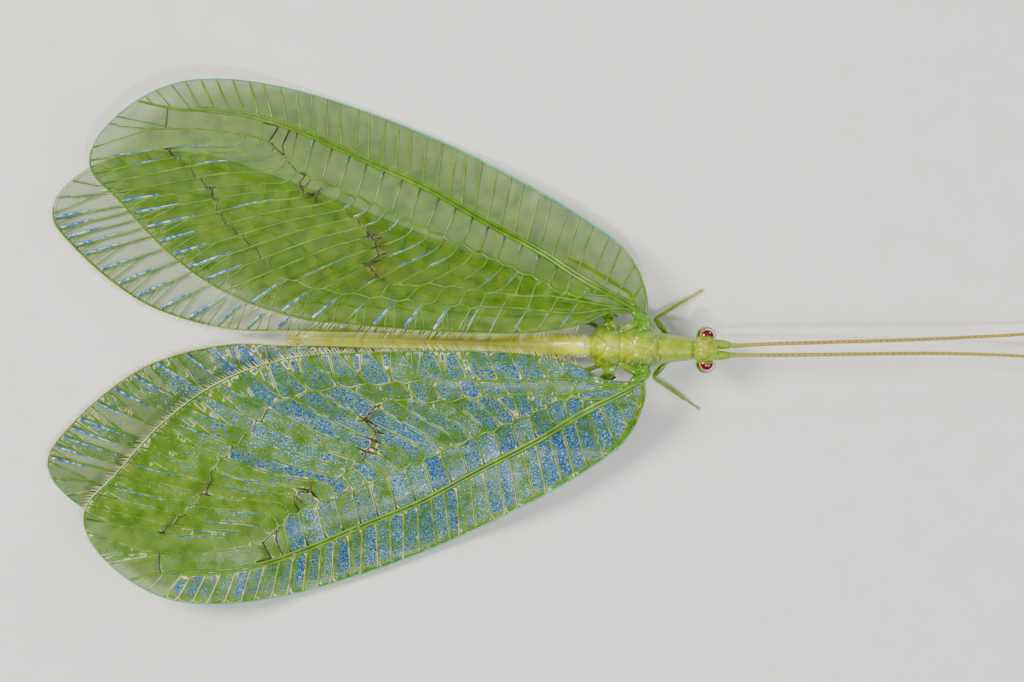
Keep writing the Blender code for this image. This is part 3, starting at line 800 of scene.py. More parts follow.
def wingFilmFinish(name, clear):
    # Wing film, clear chitin a few thousandths of a millimetre thick, see-through with a green cast. Where it
    # lies at the right slant its layers throw back blue, speckled because it is never quite flat; that blue
    # is a painted reflection.
    made, add = newMaterial(name)
    cell, shimmer, warm, gap, margin, near = (
        add("ShaderNodeAttribute", attribute_name=n).outputs["Fac"]
        for n in ("cell", "shimmer", "warm", "gap", "margin", "near"))
    place = add("ShaderNodeTexCoord").outputs["Object"]
    # Speckles are about 0.05 mm across, in drifts of about half a millimetre
    speckle = add("ShaderNodeTexNoise", {"Vector": place, "Scale": 19000.0, "Detail": 1.5, "Roughness": 0.6})
    second = add("ShaderNodeTexNoise", {"Vector": place, "Scale": 23000.0, "Detail": 1.0, "Distortion": 0.4})
    cloud = add("ShaderNodeTexNoise", {"Vector": place, "Scale": 2200.0, "Detail": 2.0})
    patch = add("ShaderNodeTexNoise", {"Vector": place, "Scale": 7500.0, "Detail": 1.0})
    # Painted reflection: the blue speckles stand for light thrown back by the film, strongest in cells with a
    # strong shimmer
    strong = add("ShaderNodeMath", {0: shimmer, 1: 0.5}, operation="MULTIPLY")
    drift = add("ShaderNodeMath", {0: cloud, 1: 0.4, 2: strong}, operation="MULTIPLY_ADD")
    lit = add("ShaderNodeMath", {0: drift, 1: speckle}, operation="ADD")
    lit = add("ShaderNodeMapRange", {"Value": lit, "From Min": 1.07, "From Max": 1.17}, **smoothRange)
    ragged = add("ShaderNodeMath", {0: speckle, 1: 0.16, 2: margin}, operation="MULTIPLY_ADD")
    away = add("ShaderNodeMapRange", {"Value": ragged, "From Min": 0.1, "From Max": 0.135}, **smoothRange)
    mask = add("ShaderNodeMath", {0: lit, 1: away}, operation="MULTIPLY")
    # Beside the dark veins the film is browned, its own colour; the pink, orange and violet it throws back
    # there are a painted reflection
    brown = add("ShaderNodeMath", {0: warm, 1: near}, operation="MULTIPLY")
    paintedPinkSheen = add("ShaderNodeMath", {0: speckle, 1: 0.7, 2: brown}, operation="MULTIPLY_ADD")
    paintedPinkSheen = add("ShaderNodeMath", {0: cloud, 1: 0.8, 2: paintedPinkSheen}, operation="MULTIPLY_ADD")
    paintedPinkSheen = add("ShaderNodeMapRange", {"Value": paintedPinkSheen, "From Min": 1.27, "From Max": 1.5}, **smoothRange)
    # A painted highlight: a white line, broken here and there, runs where lit film turns up to a vein
    edge = add("ShaderNodeMapRange", {"Value": gap, "From Min": 0.034, "From Max": 0.02}, **smoothRange)
    under = add("ShaderNodeMapRange", {"Value": gap, "From Min": 0.004, "From Max": 0.012})
    broken = add("ShaderNodeMapRange", {"Value": cloud, "From Min": 0.44, "From Max": 0.52}, **smoothRange)
    for part in (under, shimmer, broken):
        edge = add("ShaderNodeMath", {0: edge, 1: part}, operation="MULTIPLY")
    tone = add("ShaderNodeMath", {0: cell, 1: 0.12, 2: second}, operation="MULTIPLY_ADD")
    tone = add("ShaderNodeMapRange", {"Value": tone, "From Min": 0.36, "From Max": 0.84})
    blue = add("ShaderNodeValToRGB", {"Fac": tone}, [
        (0.12, "#12327c"), (0.34, "#245294"), (0.5, "#3c729c"), (0.66, "#5c94a8"), (0.86, "#b4d4cc")])
    pink = add("ShaderNodeValToRGB", {"Fac": patch}, [
        (0.3, "#5a12c4"), (0.38, "#c43078"), (0.45, "#f0808c"), (0.5, "#fff2e0"), (0.55, "#f0a83c"),
        (0.62, "#e06038"), (0.7, "#7a2c60")])
    colour = add("ShaderNodeValToRGB", {"Fac": cloud}, [(0.3, "#46700a"), (0.7, "#74961c")])
    for factor, other in ((brown, "#54400e"), (mask, blue), (edge, "#ece6c4"), (paintedPinkSheen, pink)):
        colour = add("ShaderNodeMix", {0: factor, 6: colour, 7: other}, data_type="RGBA").outputs[2]
    shown = add("ShaderNodeMath", {0: brown, 1: 0.6}, operation="MULTIPLY")
    for part in (mask, edge, paintedPinkSheen):
        shown = add("ShaderNodeMath", {0: shown, 1: part}, operation="MAXIMUM")
    # Between its speckles a glinting cell looks a deeper green than a clear one
    deep = add("ShaderNodeMapRange", {
        "Value": shimmer, "From Max": 0.8, "To Min": clear, "To Max": clear + 0.58})
    cover = add("ShaderNodeMapRange", {"Value": shown, "To Min": deep, "To Max": 0.94})
    dent = add("ShaderNodeBump", {"Strength": 0.5, "Distance": 0.00002, "Height": speckle})
    shader = add("ShaderNodeBsdfPrincipled", {
        "Base Color": colour, "Alpha": cover, "Roughness": 0.26, "Normal": dent, "IOR": 1.5,
        "Specular IOR Level": 0.3})
    add("ShaderNodeOutputMaterial", {"Surface": shader})
    return made


def veinFinish():
    # Veins, tough green chitin tubes: waxy, with a painted highlight in pale cream along one flank, dark
    # brown where they meet in places
    made, add = newMaterial("green vein chitin")
    tint = add("ShaderNodeAttribute", attribute_name="tint").outputs["Fac"]
    held = add("ShaderNodeTexCoord").outputs
    cloud = add("ShaderNodeTexNoise", {"Vector": held["Object"], "Scale": 2500.0, "Detail": 3.0})
    colour, paintedHighlightCream, teal, dark = (add("ShaderNodeValToRGB", {"Fac": cloud}, stops) for stops in (
        [(0.3, "#426e06"), (0.55, "#56860c"), (0.75, "#74a01c")], [(0.3, "#b4b058"), (0.7, "#e4dc9c")],
        [(0.3, "#2c9468"), (0.7, "#58b890")], [(0.3, "#180c04"), (0.7, "#2c1806")]))
    # A painted highlight: the flank of every vein that faces the light is painted pale cream
    flank = add("ShaderNodeVectorMath", {0: held["Normal"], 1: (-0.78, 0.45, 0.2)}, operation="DOT_PRODUCT")
    pale = add("ShaderNodeMapRange", {
        "Value": flank.outputs["Value"], "From Min": 0.42, "From Max": 0.62, "To Max": 0.9})
    # It is missing on the stout long veins, which have a tint below nought and are green all round
    plain = add("ShaderNodeMapRange", {"Value": tint, "From Min": -0.3, "From Max": -0.1})
    # It shows far more in the wing on the right, which is turned to the light
    apart = add("ShaderNodeSeparateXYZ", {"Vector": held["Object"]}).outputs["Y"]
    right = add("ShaderNodeMapRange", {
        "Value": apart, "From Min": 0.0003, "From Max": -0.0003, "To Min": 0.15})
    for part in (plain, right):
        pale = add("ShaderNodeMath", {0: pale, 1: part}, operation="MULTIPLY")
    # The front edge of the wing is blue green
    front = add("ShaderNodeMapRange", {"Value": tint, "From Min": -0.45, "From Max": -1.0})
    burnt = add("ShaderNodeMath", {0: tint, 1: 1.0}, operation="MULTIPLY", use_clamp=True)
    for factor, other in ((pale, paintedHighlightCream), (front, teal), (burnt, dark)):
        colour = add("ShaderNodeMix", {0: factor, 6: colour, 7: other}, data_type="RGBA").outputs[2]
    shader = add("ShaderNodeBsdfPrincipled", {"Base Color": colour, "Roughness": 0.3, "IOR": 1.56})
    add("ShaderNodeOutputMaterial", {"Surface": shader})
    return made


glintMaking = {
    "broadHalf": 0.04,
    "broadLength": (1.0, 1.6),
    "fineHalf": (0.012, 0.02),
    "radialHalf": 0.022,
    "radialLength": 0.25,
    "least": 0.005,
    "stops": 12,
}


def makeGlints(name, veins, reach, place, finish):
    # Painted glints: slender strips beside the branches in the colours of light thrown back by pleats there,
    # broad ones at their rear ends, as far out as reach, and hair lines
    chance, lines, stops = random.Random(wingMaking["seed"] + 5), [], glintMaking["stops"]
    for kind, path in veins:
        long = pathLength(path)
        if kind == "rear" and 5.5 < path[-1].x < reach and chance.random() < 0.8:
            half, end = glintMaking["broadHalf"], 1.0 - chance.uniform(0.03, 0.1) / long
            start = max(end - chance.uniform(*glintMaking["broadLength"]) / long, 0.05)
        elif kind in ("branch", "rear") and long > 0.6 and chance.random() < 0.55:
            half, start = chance.uniform(*glintMaking["fineHalf"]), chance.uniform(0.05, 0.4)
            end = start + (0.95 - start) * chance.uniform(0.4, 1.0)
        elif kind == "radial" and chance.random() < 0.4:
            half, start, end = glintMaking["radialHalf"], 0.04, min(glintMaking["radialLength"] / long, 0.6)
        else:
            continue
        beside, line = pathBeside(path, half + 0.025), []
        for k in range(stops + 1):
            # Widest in the last third and blunt at the end
            wide = half * math.sin(math.pi * min(k / stops * 0.6 + 0.02, 0.5)) * (0.5 if k == stops else 1.0)
            p = pointAlong(beside, blend(start, end, k / stops))
            line.append((place(p, wingMaking["veinLift"]), max(wide, glintMaking["least"]), 0.0))
        lines.append(line)
    return linesToTubes(name, lines, 6, finish)


def glintsOf(side, fore):
    # How strongly a cell throws back light, and how much of that is pink, by its place in the wing
    shape = foreWing if fore else hindWing
    markX, markY, markReach = shape["darkSpots"][0]

    def glints(p, chance):
        radiusAt, sectorAt = levelAt(shape["radius"], p.x), levelAt(shape["sector"], p.x)
        warm = 0.0
        if (p - Vector((markX, markY))).length < markReach * 1.1:
            warm = chance.choice((0.4, 0.85, 1.0)) * (1.0 if fore else 0.3)
        if side == "left":
            strength = 0.12 + (0.35 if p.x < 3.5 and p.y < radiusAt else 0.0) * chance.random()
            return strength + (0.0 if fore else 0.1), warm
        # The wing on the right is turned to the light, most of all its root and its front row of cells
        if fore and p.y > radiusAt:
            strength = 0.9 - 0.8 * ease((p.x - 15.2) / 1.2)
        elif p.y > sectorAt:
            strength = 0.85 - 0.3 * ease((p.x - 12.0) / 3.0) - 0.35 * ease((p.x - 15.6) / 1.4)
        else:
            strength = 0.85 - 0.3 * ease((p.x - 10.0) / 5.0)
            strength -= 0.2 * ease((p.y + 0.6) / 2.0) * ease((p.x - 10.5) / 3)
        return max(strength + chance.uniform(-0.14, 0.14), 0.0), warm

    return glints


veinChitin = veinFinish()
# Bristles, solid golden chitin: pale and shiny along the shaft
bristleSurface = {"Roughness": 0.4, "IOR": 1.56}
wingBristle = cloudedMaterial("pale wing bristle", 1500.0, 1.0, [(0.35, "#c4be78"), (0.65, "#f2ecc0")],
                              bristleSurface)
# Pleats of the film beside the veins, tilted to the light: a painted reflection, bright blue with white and
# violet runs
paintedGlintFilm = cloudedMaterial("painted glint film", 7000.0, 2.0, [
    (0.28, "#3a2ec0"), (0.4, "#1f62d0"), (0.5, "#3f96e2"), (0.6, "#a4d8f2"), (0.72, "#f4ecd8")],
    {"Roughness": 0.25, "Metallic": 0.2, "IOR": 1.56})
foreFilm = wingFilmFinish("iridescent forewing film", 0.36)
hindFilm = wingFilmFinish("iridescent hindwing film", 0.08)


def makeWing(side, fore):
    shape = foreWing if fore else hindWing
    name = ("forewing_" if fore else "hindwing_") + side
    veins, edge = planVeins(shape)
    place = wingPlacer(shape, side, fore)
    filmFinish = foreFilm if fore else hindFilm
    film = makeFilm(name + "_film", shape, veins, edge, place, glintsOf(side, fore), filmFinish)
    tubes = makeVeins(name + "_veins", shape, veins, place, veinChitin)
    hairs = makeWingHairs(name + "_bristles", veins, place, wingBristle)
    glints = makeGlints(name + "_glints", veins, shape["glintReach"][side], place, paintedGlintFilm)
    for piece in (film, tubes, hairs, glints):
        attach(piece, "root")
        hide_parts(name)
        print(piece.name, len(piece.data.polygons), "faces")


for side in ("left", "right"):
    for fore in (False, True):
        makeWing(side, fore)


# The body: head, thorax and abdomen as one skin, grown from rounded masses that are melted together
bodyMaking = {
    "voxel": 0.025,
    "melt": 5,
    "segments": 9,
    "pinch": 0.045,
    "seamWidth": 0.024,
    "seamDepth": 0.015,
    "foldDepth": 0.008,
    "wrinkleDepth": 0.004,
    "hairs": 6500,
    "hairLength": (0.1, 0.17),
    "seed": 21,
}
# Masses: centre, half sizes, turn about Y and turn about Z in degrees; one with y above nought is set twice
bodyMasses = [
    # head: skull, crown, face, clypeus, lip, jaws, cheeks, neck and the sockets of the feelers
    ((2.64, 0.0, 1.4), (0.36, 0.455, 0.47), 0, 0),
    ((2.6, 0.15, 1.56), (0.28, 0.27, 0.34), 0, 0),
    ((2.66, 0.29, 1.56), (0.32, 0.155, 0.27), 0, 0),
    ((2.93, 0.0, 1.36), (0.22, 0.36, 0.44), 0, 0),
    ((3.0, 0.0, 0.98), (0.15, 0.27, 0.27), 0, 0),
    ((2.98, 0.0, 0.76), (0.1, 0.18, 0.12), 0, 0),
    ((2.84, 0.13, 0.66), (0.14, 0.09, 0.13), 30, 0),
    ((2.78, 0.3, 1.02), (0.2, 0.1, 0.26), 0, 0),
    ((2.38, 0.0, 1.36), (0.2, 0.3, 0.32), 0, 0),
    ((3.06, 0.2, 1.5), (0.09, 0.15, 0.16), 0, 0),
    # middle thorax: front shield, the two muscle humps, scutellum, flanks
    ((0.92, 0.0, 1.9), (0.24, 0.3, 0.44), 0, 0),
    ((0.6, 0.27, 1.98), (0.4, 0.3, 0.44), 0, 0),
    ((0.24, 0.0, 1.98), (0.2, 0.2, 0.4), 0, 0),
    ((0.52, 0.46, 1.36), (0.5, 0.28, 0.5), 0, 0),
    ((0.78, 0.6, 1.78), (0.26, 0.17, 0.3), 0, 25),
    # roots of the forewings: a lobe at the shoulder and the plates that the veins spring from
    ((0.72, 0.86, 1.94), (0.28, 0.19, 0.13), 0, 35),
    ((0.54, 1.0, 2.05), (0.3, 0.15, 0.12), 0, 28),
    ((0.34, 0.72, 1.84), (0.3, 0.13, 0.09), 0, -24),
    ((0.1, 0.6, 1.84), (0.18, 0.08, 0.07), 0, -14),
    # hind thorax and the roots of the hindwings
    ((-0.4, 0.24, 1.84), (0.3, 0.26, 0.38), 0, 0),
    ((-0.68, 0.0, 1.78), (0.18, 0.19, 0.32), 0, 0),
    ((-0.5, 0.4, 1.26), (0.4, 0.24, 0.44), 0, 0),
    ((-0.4, 0.46, 1.64), (0.36, 0.18, 0.1), 0, 0),
    ((-0.16, 0.6, 1.62), (0.32, 0.09, 0.06), 0, -120),
    ((-0.36, 0.66, 1.58), (0.17, 0.2, 0.05), 0, 0),
    ((-0.54, 0.66, 1.54), (0.34, 0.08, 0.055), 0, -47),
    ((-0.36, 0.84, 1.48), (0.17, 0.16, 0.12), 0, 0),
    ((-0.42, 0.95, 1.4), (0.26, 0.12, 0.1), 0, 14),
    # the end of the abdomen: its two side flaps and the plate below
    ((-10.42, 0.13, 0.5), (0.28, 0.13, 0.22), 0, 0),
    ((-10.3, 0.0, 0.34), (0.3, 0.18, 0.2), 0, 0),
]
# Sections along the body: x, half width, lowest and highest z
neckAndShield = [
    (2.42, 0.26, 1.06, 1.66), (2.3, 0.335, 1.0, 1.82), (2.15, 0.37, 0.97, 1.9), (1.98, 0.39, 0.97, 1.92),
    (1.7, 0.435, 0.97, 1.97), (1.42, 0.475, 0.97, 2.03), (1.2, 0.5, 0.95, 2.06), (1.05, 0.48, 1.0, 2.02),
]
thoraxSections = [
    (1.35, 0.45, 1.0, 2.0), (1.16, 0.56, 0.98, 2.1), (0.95, 0.66, 0.92, 2.24), (0.7, 0.7, 0.88, 2.36),
    (0.45, 0.68, 0.86, 2.4), (0.2, 0.6, 0.86, 2.32), (0.0, 0.55, 0.86, 2.2), (-0.2, 0.58, 0.86, 2.22),
    (-0.45, 0.58, 0.86, 2.18), (-0.7, 0.48, 0.88, 2.02), (-0.95, 0.37, 0.9, 1.72), (-1.15, 0.33, 0.86, 1.5),
]
abdomenSections = [
    (-1.0, 0.32, 0.92, 1.5), (-1.25, 0.34, 0.8, 1.4), (-1.7, 0.37, 0.56, 1.28), (-2.4, 0.38, 0.24, 1.09),
    (-3.2, 0.4, 0.09, 0.94), (-5.0, 0.42, 0.06, 0.86), (-7.0, 0.455, 0.06, 0.85), (-8.5, 0.45, 0.06, 0.84),
    (-9.6, 0.39, 0.07, 0.8), (-10.2, 0.28, 0.12, 0.68), (-10.5, 0.16, 0.22, 0.56),
]
# Seams of the upper side: paths of x and y, drawn on the right as on the left
seams = [
    [(2.3, 0.0), (2.28, 0.2), (2.24, 0.36)],
    [(1.16, 0.0), (1.17, 0.2), (1.22, 0.44)],
    [(0.82, 0.0), (0.98, 0.22), (1.1, 0.42)],
    [(0.82, 0.0), (0.5, 0.02), (0.38, 0.05)],
    [(0.4, 0.0), (0.36, 0.16), (0.12, 0.34), (0.06, 0.6)],
    [(-0.06, 0.0), (-0.07, 0.3), (-0.1, 0.62)],
    [(-0.1, 0.0), (-0.4, 0.01), (-0.52, 0.03)],
    [(-0.5, 0.0), (-0.6, 0.2), (-0.84, 0.36)],
    [(-0.98, 0.0), (-0.96, 0.2), (-0.9, 0.4)],
    [(2.96, 0.0), (2.92, 0.14), (2.8, 0.28), (2.5, 0.34)],
]
# Seams of the face: y and z; and of the flanks: x and z
faceSeams = [
    [(0.0, 1.14), (0.14, 1.12), (0.24, 1.02), (0.27, 0.86)],
    [(0.0, 0.85), (0.12, 0.85), (0.2, 0.8)],
    [(0.24, 1.08), (0.33, 1.2), (0.36, 1.5)],
    [(0.0, 1.66), (0.02, 1.3), (0.0, 1.14)],
]
flankSeams = [
    [(1.24, 2.0), (1.16, 1.5), (1.1, 0.95)],
    [(0.78, 1.8), (0.56, 1.4), (0.44, 0.9)],
    [(1.06, 1.5), (0.62, 1.34), (0.1, 1.42)],
    [(-0.02, 2.0), (-0.06, 1.5), (-0.02, 0.9)],
    [(-0.34, 1.6), (-0.46, 1.3), (-0.52, 0.9)],
    [(-0.1, 1.3), (-0.5, 1.24), (-0.9, 1.3)],
    [(-0.92, 1.7), (-0.94, 1.3), (-0.98, 0.95)],
    [(2.2, 1.6), (1.9, 1.36), (1.3, 1.3)],
    [(2.62, 1.02), (2.74, 0.86), (2.86, 0.76)],
]


def ball(centre, radii, lean, swing, rings=18, sides=28):
    verts, faces = [(0.0, 0.0, 1.0)], []
    for r in range(1, rings):
        a = math.pi * r / rings
        for k in range(sides):
            b = 2 * math.pi * k / sides
            verts.append((math.sin(a) * math.cos(b), math.sin(a) * math.sin(b), math.cos(a)))
    verts.append((0.0, 0.0, -1.0))
    last = len(verts) - 1
    for k in range(sides):
        n = (k + 1) % sides
        faces.append((0, 1 + k, 1 + n))
        faces.append((last, last - sides + n, last - sides + k))
        for r in range(rings - 2):
            a = 1 + r * sides
            faces.append((a + k, a + sides + k, a + sides + n, a + n))
    turn = Matrix.Rotation(math.radians(swing), 3, "Z") @ Matrix.Rotation(math.radians(lean), 3, "Y")
    place = Vector(centre)
    return [place + turn @ Vector((x * radii[0], y * radii[1], z * radii[2])) for x, y, z in verts], faces


def loft(sections, step, sides=36, squareness=2.3, pinch=None):
    path = smoothPath(sections, step)
    verts, faces = [], []
    for x, half, low, high in path:
        middle, tall = (low + high) / 2, (high - low) / 2
        tight = 1.0 - (pinch(x) if pinch else 0.0)
        for k in range(sides):
            a = 2 * math.pi * (k + 0.5) / sides
            c, s = math.cos(a), math.sin(a)
            verts.append(Vector((x, half * tight * math.copysign(abs(c) ** (2 / squareness), c),
                                 middle + tall * tight * math.copysign(abs(s) ** (2 / squareness), s))))
    for r in range(len(path) - 1):
        for k in range(sides):
            a, b = r * sides + k, r * sides + (k + 1) % sides
            faces.append((a, a + sides, b + sides, b))
    faces.append(tuple(range(sides)))
    faces.append(tuple(range(len(verts) - sides, len(verts)))[::-1])
    return verts, faces


abdomenFront, abdomenEnd = -1.25, -10.2


def segmentPinch(x):
    # Each ring of the abdomen is drawn in at its hind edge, where the next one slides under it
    t = (abdomenFront - x) / (abdomenFront - abdomenEnd) * bodyMaking["segments"]
    if t < 0.3:
        return 0.0
    near = abs(t - round(t))
    return bodyMaking["pinch"] * (1.0 - ease(near / 0.13))


def makeSkin():
    parts = [loft(neckAndShield, 0.05), loft(thoraxSections, 0.05, squareness=2.1),
             loft(abdomenSections, 0.03, pinch=segmentPinch)]
    for centre, radii, lean, swing in bodyMasses:
        for side in ((1, -1) if centre[1] else (1,)):
            parts.append(ball((centre[0], centre[1] * side, centre[2]), radii, lean, -swing * side))
    verts, faces = [], []
    for partVerts, partFaces in parts:
        faces += [tuple(i + len(verts) for i in f) for f in partFaces]
        verts += partVerts
    mesh = bpy.data.meshes.new("body_skin")
    mesh.from_pydata(verts, [], faces)
    skin = bpy.data.objects.new("body_skin", mesh)
    collection.objects.link(skin)
    melt = skin.modifiers.new("melt", "REMESH")
    melt.mode, melt.voxel_size, melt.use_smooth_shade = "VOXEL", bodyMaking["voxel"], True
    relax = skin.modifiers.new("relax", "SMOOTH")
    relax.factor, relax.iterations = 0.5, bodyMaking["melt"]
    keepResult(skin)
    mesh = skin.data
    count = len(mesh.vertices)
    co, normal = readVectors(mesh.vertices, "co"), readVectors(mesh.vertex_normals, "vector")

    # Seams are cut into the upper side, the face and the flanks
    groove = np.zeros(count)
    upper = np.clip(normal[:, 2] * 3.0, 0.0, 1.0)
    for group, axes, facing in ((seams, [0, 1], 2), (faceSeams, [1, 2], 0), (flankSeams, [0, 2], 1)):
        flat = np.stack([abs(co[:, a]) if a == 1 else co[:, a] for a in axes], 1)
        out = abs(normal[:, 1]) if facing == 1 else normal[:, facing]
        seen = (out > 0.1) & (co[:, 2] > 1.2 if facing == 2 else (co[:, 0] > 2.6) | (facing == 1))
        for seam in group:
            line = np.array([(p.x, p.y) for p in smoothPath(seam, 0.02)])
            low, high = line.min(0) - 0.1, line.max(0) + 0.1
            chosen = np.nonzero(seen & (flat > low).all(1) & (flat < high).all(1))[0]
            gap = np.sqrt(((flat[chosen, None] - line[None]) ** 2).sum(2)).min(1)
            clear = np.clip((out[chosen] - 0.1) * 3.0, 0.0, 1.0)
            carved = np.exp(-(gap / bodyMaking["seamWidth"]) ** 2) * clear
            groove[chosen] = np.maximum(groove[chosen], carved)
    # Fine cross wrinkles on the flanks of the abdomen
    wrinkle = np.sin(co[:, 0] * 42.0) * np.clip(1.0 - abs(normal[:, 2]) * 1.5, 0.0, 1.0)
    wrinkle *= bodyMaking["wrinkleDepth"]
    wrinkle *= co[:, 0] < -1.1
    # Low cross folds on the shield behind the head and on the first plates of the thorax
    folds = np.sin((co[:, 0] - 1.2) * 19.0) * np.interp(co[:, 0], [0.5, 0.9, 2.1, 2.3], [0.0, 1.0, 1.0, 0.0])
    ring = np.array([segmentPinch(float(x)) / bodyMaking["pinch"] for x in co[:, 0]])
    ring *= co[:, 0] < abdomenFront
    depth = groove * bodyMaking["seamDepth"] + folds * upper * bodyMaking["foldDepth"] + wrinkle
    co -= normal * depth[:, None].astype(np.float32)
    co[:, 2] = np.maximum(co[:, 2], 0.03)
    mesh.vertices.foreach_set("co", ((co + np.array(bodyShift, dtype=np.float32)) * 0.001).ravel())
    mesh.update()

    # Where the paint goes: yellow along the back, green on the flanks, dark only in the seams as painted
    # shade, and a pale midline on the abdomen as a painted highlight
    across = abs(co[:, 1])
    behind = co[:, 0] < -1.0
    back = (1.0 - across / np.where(behind, 0.42, 0.5)) * np.where(behind, 2.0, 1.0)
    back = np.clip(back, 0.0, 1.0) * np.clip(normal[:, 2] * 1.6, 0.0, 1.0)
    fore = np.interp(co[:, 0], [-10.7, -9.0, -1.4, -0.9, 0.0, 0.9, 1.3, 2.3, 2.5, 3.1],
                     [0.5, 0.95, 1.0, 0.8, 0.45, 0.4, 0.25, 0.15, 0.3, 0.2])
    storeValues(mesh, "yellow", back * fore)
    # Painted shade: the seams and the pinched hind edges of the abdomen's rings are darkened
    storeValues(mesh, "groove", np.maximum(groove, ring * 0.25))
    flank = np.clip((across - np.where(behind, 0.25, 0.18)) * 2.6, 0.0, 1.0)
    flank *= np.interp(co[:, 0], [-10.7, -3.0, -0.9, 0.1, 0.4, 1.1, 2.2, 2.45, 3.1],
                       [1.0, 1.0, 0.2, 0.5, 0.9, 0.9, 1.0, 0.4, 0.3])
    storeValues(mesh, "green", np.maximum(flank, np.clip((across - 0.78) * 8.0, 0.0, 1.0)))
    # Painted highlight: a pale cream stripe along the top of the abdomen
    storeValues(mesh, "midline", np.exp(-(across / 0.024) ** 2) * upper * (co[:, 0] < -0.95) * 0.8)
    mesh.materials.clear()
    mesh.materials.append(bodyChitin)
    mesh.shade_smooth()
    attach(skin, "root")
    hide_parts("head", "prothorax", "mesothorax", "metathorax", "abdomen")
    print("skin", len(mesh.polygons), "faces")
    return skin


def bodyFinish():
    # Living cuticle: thin green chitin over wet flesh, so it glows a little yellow, with a waxy wet shine
    made, add = newMaterial("waxy green cuticle")
    yellow, groove, green, midline = (add("ShaderNodeAttribute", attribute_name=n).outputs["Fac"]
                                      for n in ("yellow", "groove", "green", "midline"))
    place = add("ShaderNodeTexCoord").outputs["Object"]
    cloud = add("ShaderNodeTexNoise", {"Vector": place, "Scale": 2600.0, "Detail": 4.0, "Roughness": 0.6})
    fine = add("ShaderNodeTexNoise", {"Vector": place, "Scale": 16000.0, "Detail": 3.0})
    grain = add("ShaderNodeTexVoronoi", {"Vector": place, "Scale": 22000.0})
    colour, flankGreen, gold, paintedHighlightCream = (add("ShaderNodeValToRGB", {"Fac": cloud}, stops) for stops in (
        [(0.3, "#6c8c04"), (0.5, "#829c06"), (0.7, "#9aac0c")], [(0.3, "#3a7202"), (0.7, "#5e9808")],
        [(0.3, "#d4e204"), (0.7, "#ecf614")], [(0.3, "#f2f0a0"), (0.7, "#fcfad0")]))
    # The cream midline is a painted highlight; the yellow and green are the cuticle's own colours
    for factor, other in ((green, flankGreen), (yellow, gold), (midline, paintedHighlightCream)):
        colour = add("ShaderNodeMix", {0: factor, 6: colour, 7: other}, data_type="RGBA").outputs[2]
    # Painted shade: the colour is darkened in the seams
    shade = add("ShaderNodeMix", {
        0: groove, 6: colour, 7: "#cfc98a"}, data_type="RGBA", blend_type="MULTIPLY")
    height = add("ShaderNodeMath", {0: fine, 1: grain}, operation="ADD")
    height = add("ShaderNodeMath", {0: cloud, 1: 3.0, 2: height}, operation="MULTIPLY_ADD")
    dent = add("ShaderNodeBump", {"Strength": 0.45, "Distance": 0.000012, "Height": height})
    rough = add("ShaderNodeMapRange", {"Value": cloud, "To Min": 0.3, "To Max": 0.42})
    shader = add("ShaderNodeBsdfPrincipled", {
        "Base Color": shade.outputs[2], "Roughness": rough, "IOR": 1.5, "Subsurface Weight": 0.18,
        "Subsurface Radius": (0.7, 1.0, 0.25), "Subsurface Scale": 0.00025, "Specular IOR Level": 0.25,
        "Coat Weight": 0.8, "Coat Roughness": 0.02, "Normal": dent})
    add("ShaderNodeOutputMaterial", {"Surface": shader})
    return made


bodyChitin = bodyFinish()
bodySkin = makeSkin()


# The eyes: domes on the head's flanks, dark olive with a painted reflection, the coloured spot of thrown-back
# light that the real ones show from above
eyeMaking = {"centre": (2.7, 0.43, 1.42), "radii": (0.325, 0.315, 0.39), "rings": 40, "sides": 72}


def eyeFinish():
    # Compound eye: clear lenses over layers that throw back coloured light, which is painted into its colour
    # as a reflection; wet and very shiny
    made, add = newMaterial("lacewing eye lens")
    ring, crescent, rim = (add("ShaderNodeAttribute", attribute_name=n).outputs["Fac"]
                           for n in ("ring", "crescent", "rim"))
    place = add("ShaderNodeTexCoord").outputs["Object"]
    jitter = add("ShaderNodeTexNoise", {"Vector": place, "Scale": 14000.0})
    jitter = add("ShaderNodeMapRange", {"Value": jitter, "To Min": -0.06, "To Max": 0.06})
    ring = add("ShaderNodeMath", {0: ring, 1: jitter}, operation="ADD")
    # Painted reflection: the maroon spot with red, orange and yellow rings, and the white and blue crescent
    # beside it. The rim colour is partly painted light, the pale ring round the outline, and partly the eye's
    # own golden lower part.
    colour, glow = (add("ShaderNodeValToRGB", {"Fac": ring}, stops) for stops in (
        [(0.0, "#7c1c34"), (0.3, "#540a16"), (0.52, "#480408"), (0.57, "#c41404"), (0.61, "#f06a04"),
         (0.65, "#f0d410"), (0.69, "#56641a"), (0.78, "#3e4c18")],
        [(0.52, "#480408"), (0.57, "#c41404"), (0.61, "#f06a04"), (0.65, "#f4e020"), (0.7, "#d0f4f0"),
         (0.75, "#3cb4e0"), (0.8, "#1668b8"), (0.87, "#3e4c18")]))
    for factor, other in ((crescent, glow), (rim, "#8c9030")):
        colour = add("ShaderNodeMix", {0: factor, 6: colour, 7: other}, data_type="RGBA").outputs[2]
    # Facets are about 0.02 mm in the real eye and drawn at 0.035 so that they show
    facet = add("ShaderNodeTexVoronoi", {"Vector": place, "Scale": 28000.0, "Randomness": 0.25})
    dent = add("ShaderNodeBump", {"Strength": 0.25, "Distance": 0.000008, "Height": facet}, invert=True)
    shader = add("ShaderNodeBsdfPrincipled", {
        "Base Color": colour, "Roughness": 0.12, "IOR": 1.5, "Coat Weight": 0.8, "Coat Roughness": 0.03,
        "Normal": dent})
    add("ShaderNodeOutputMaterial", {"Surface": shader})
    return made


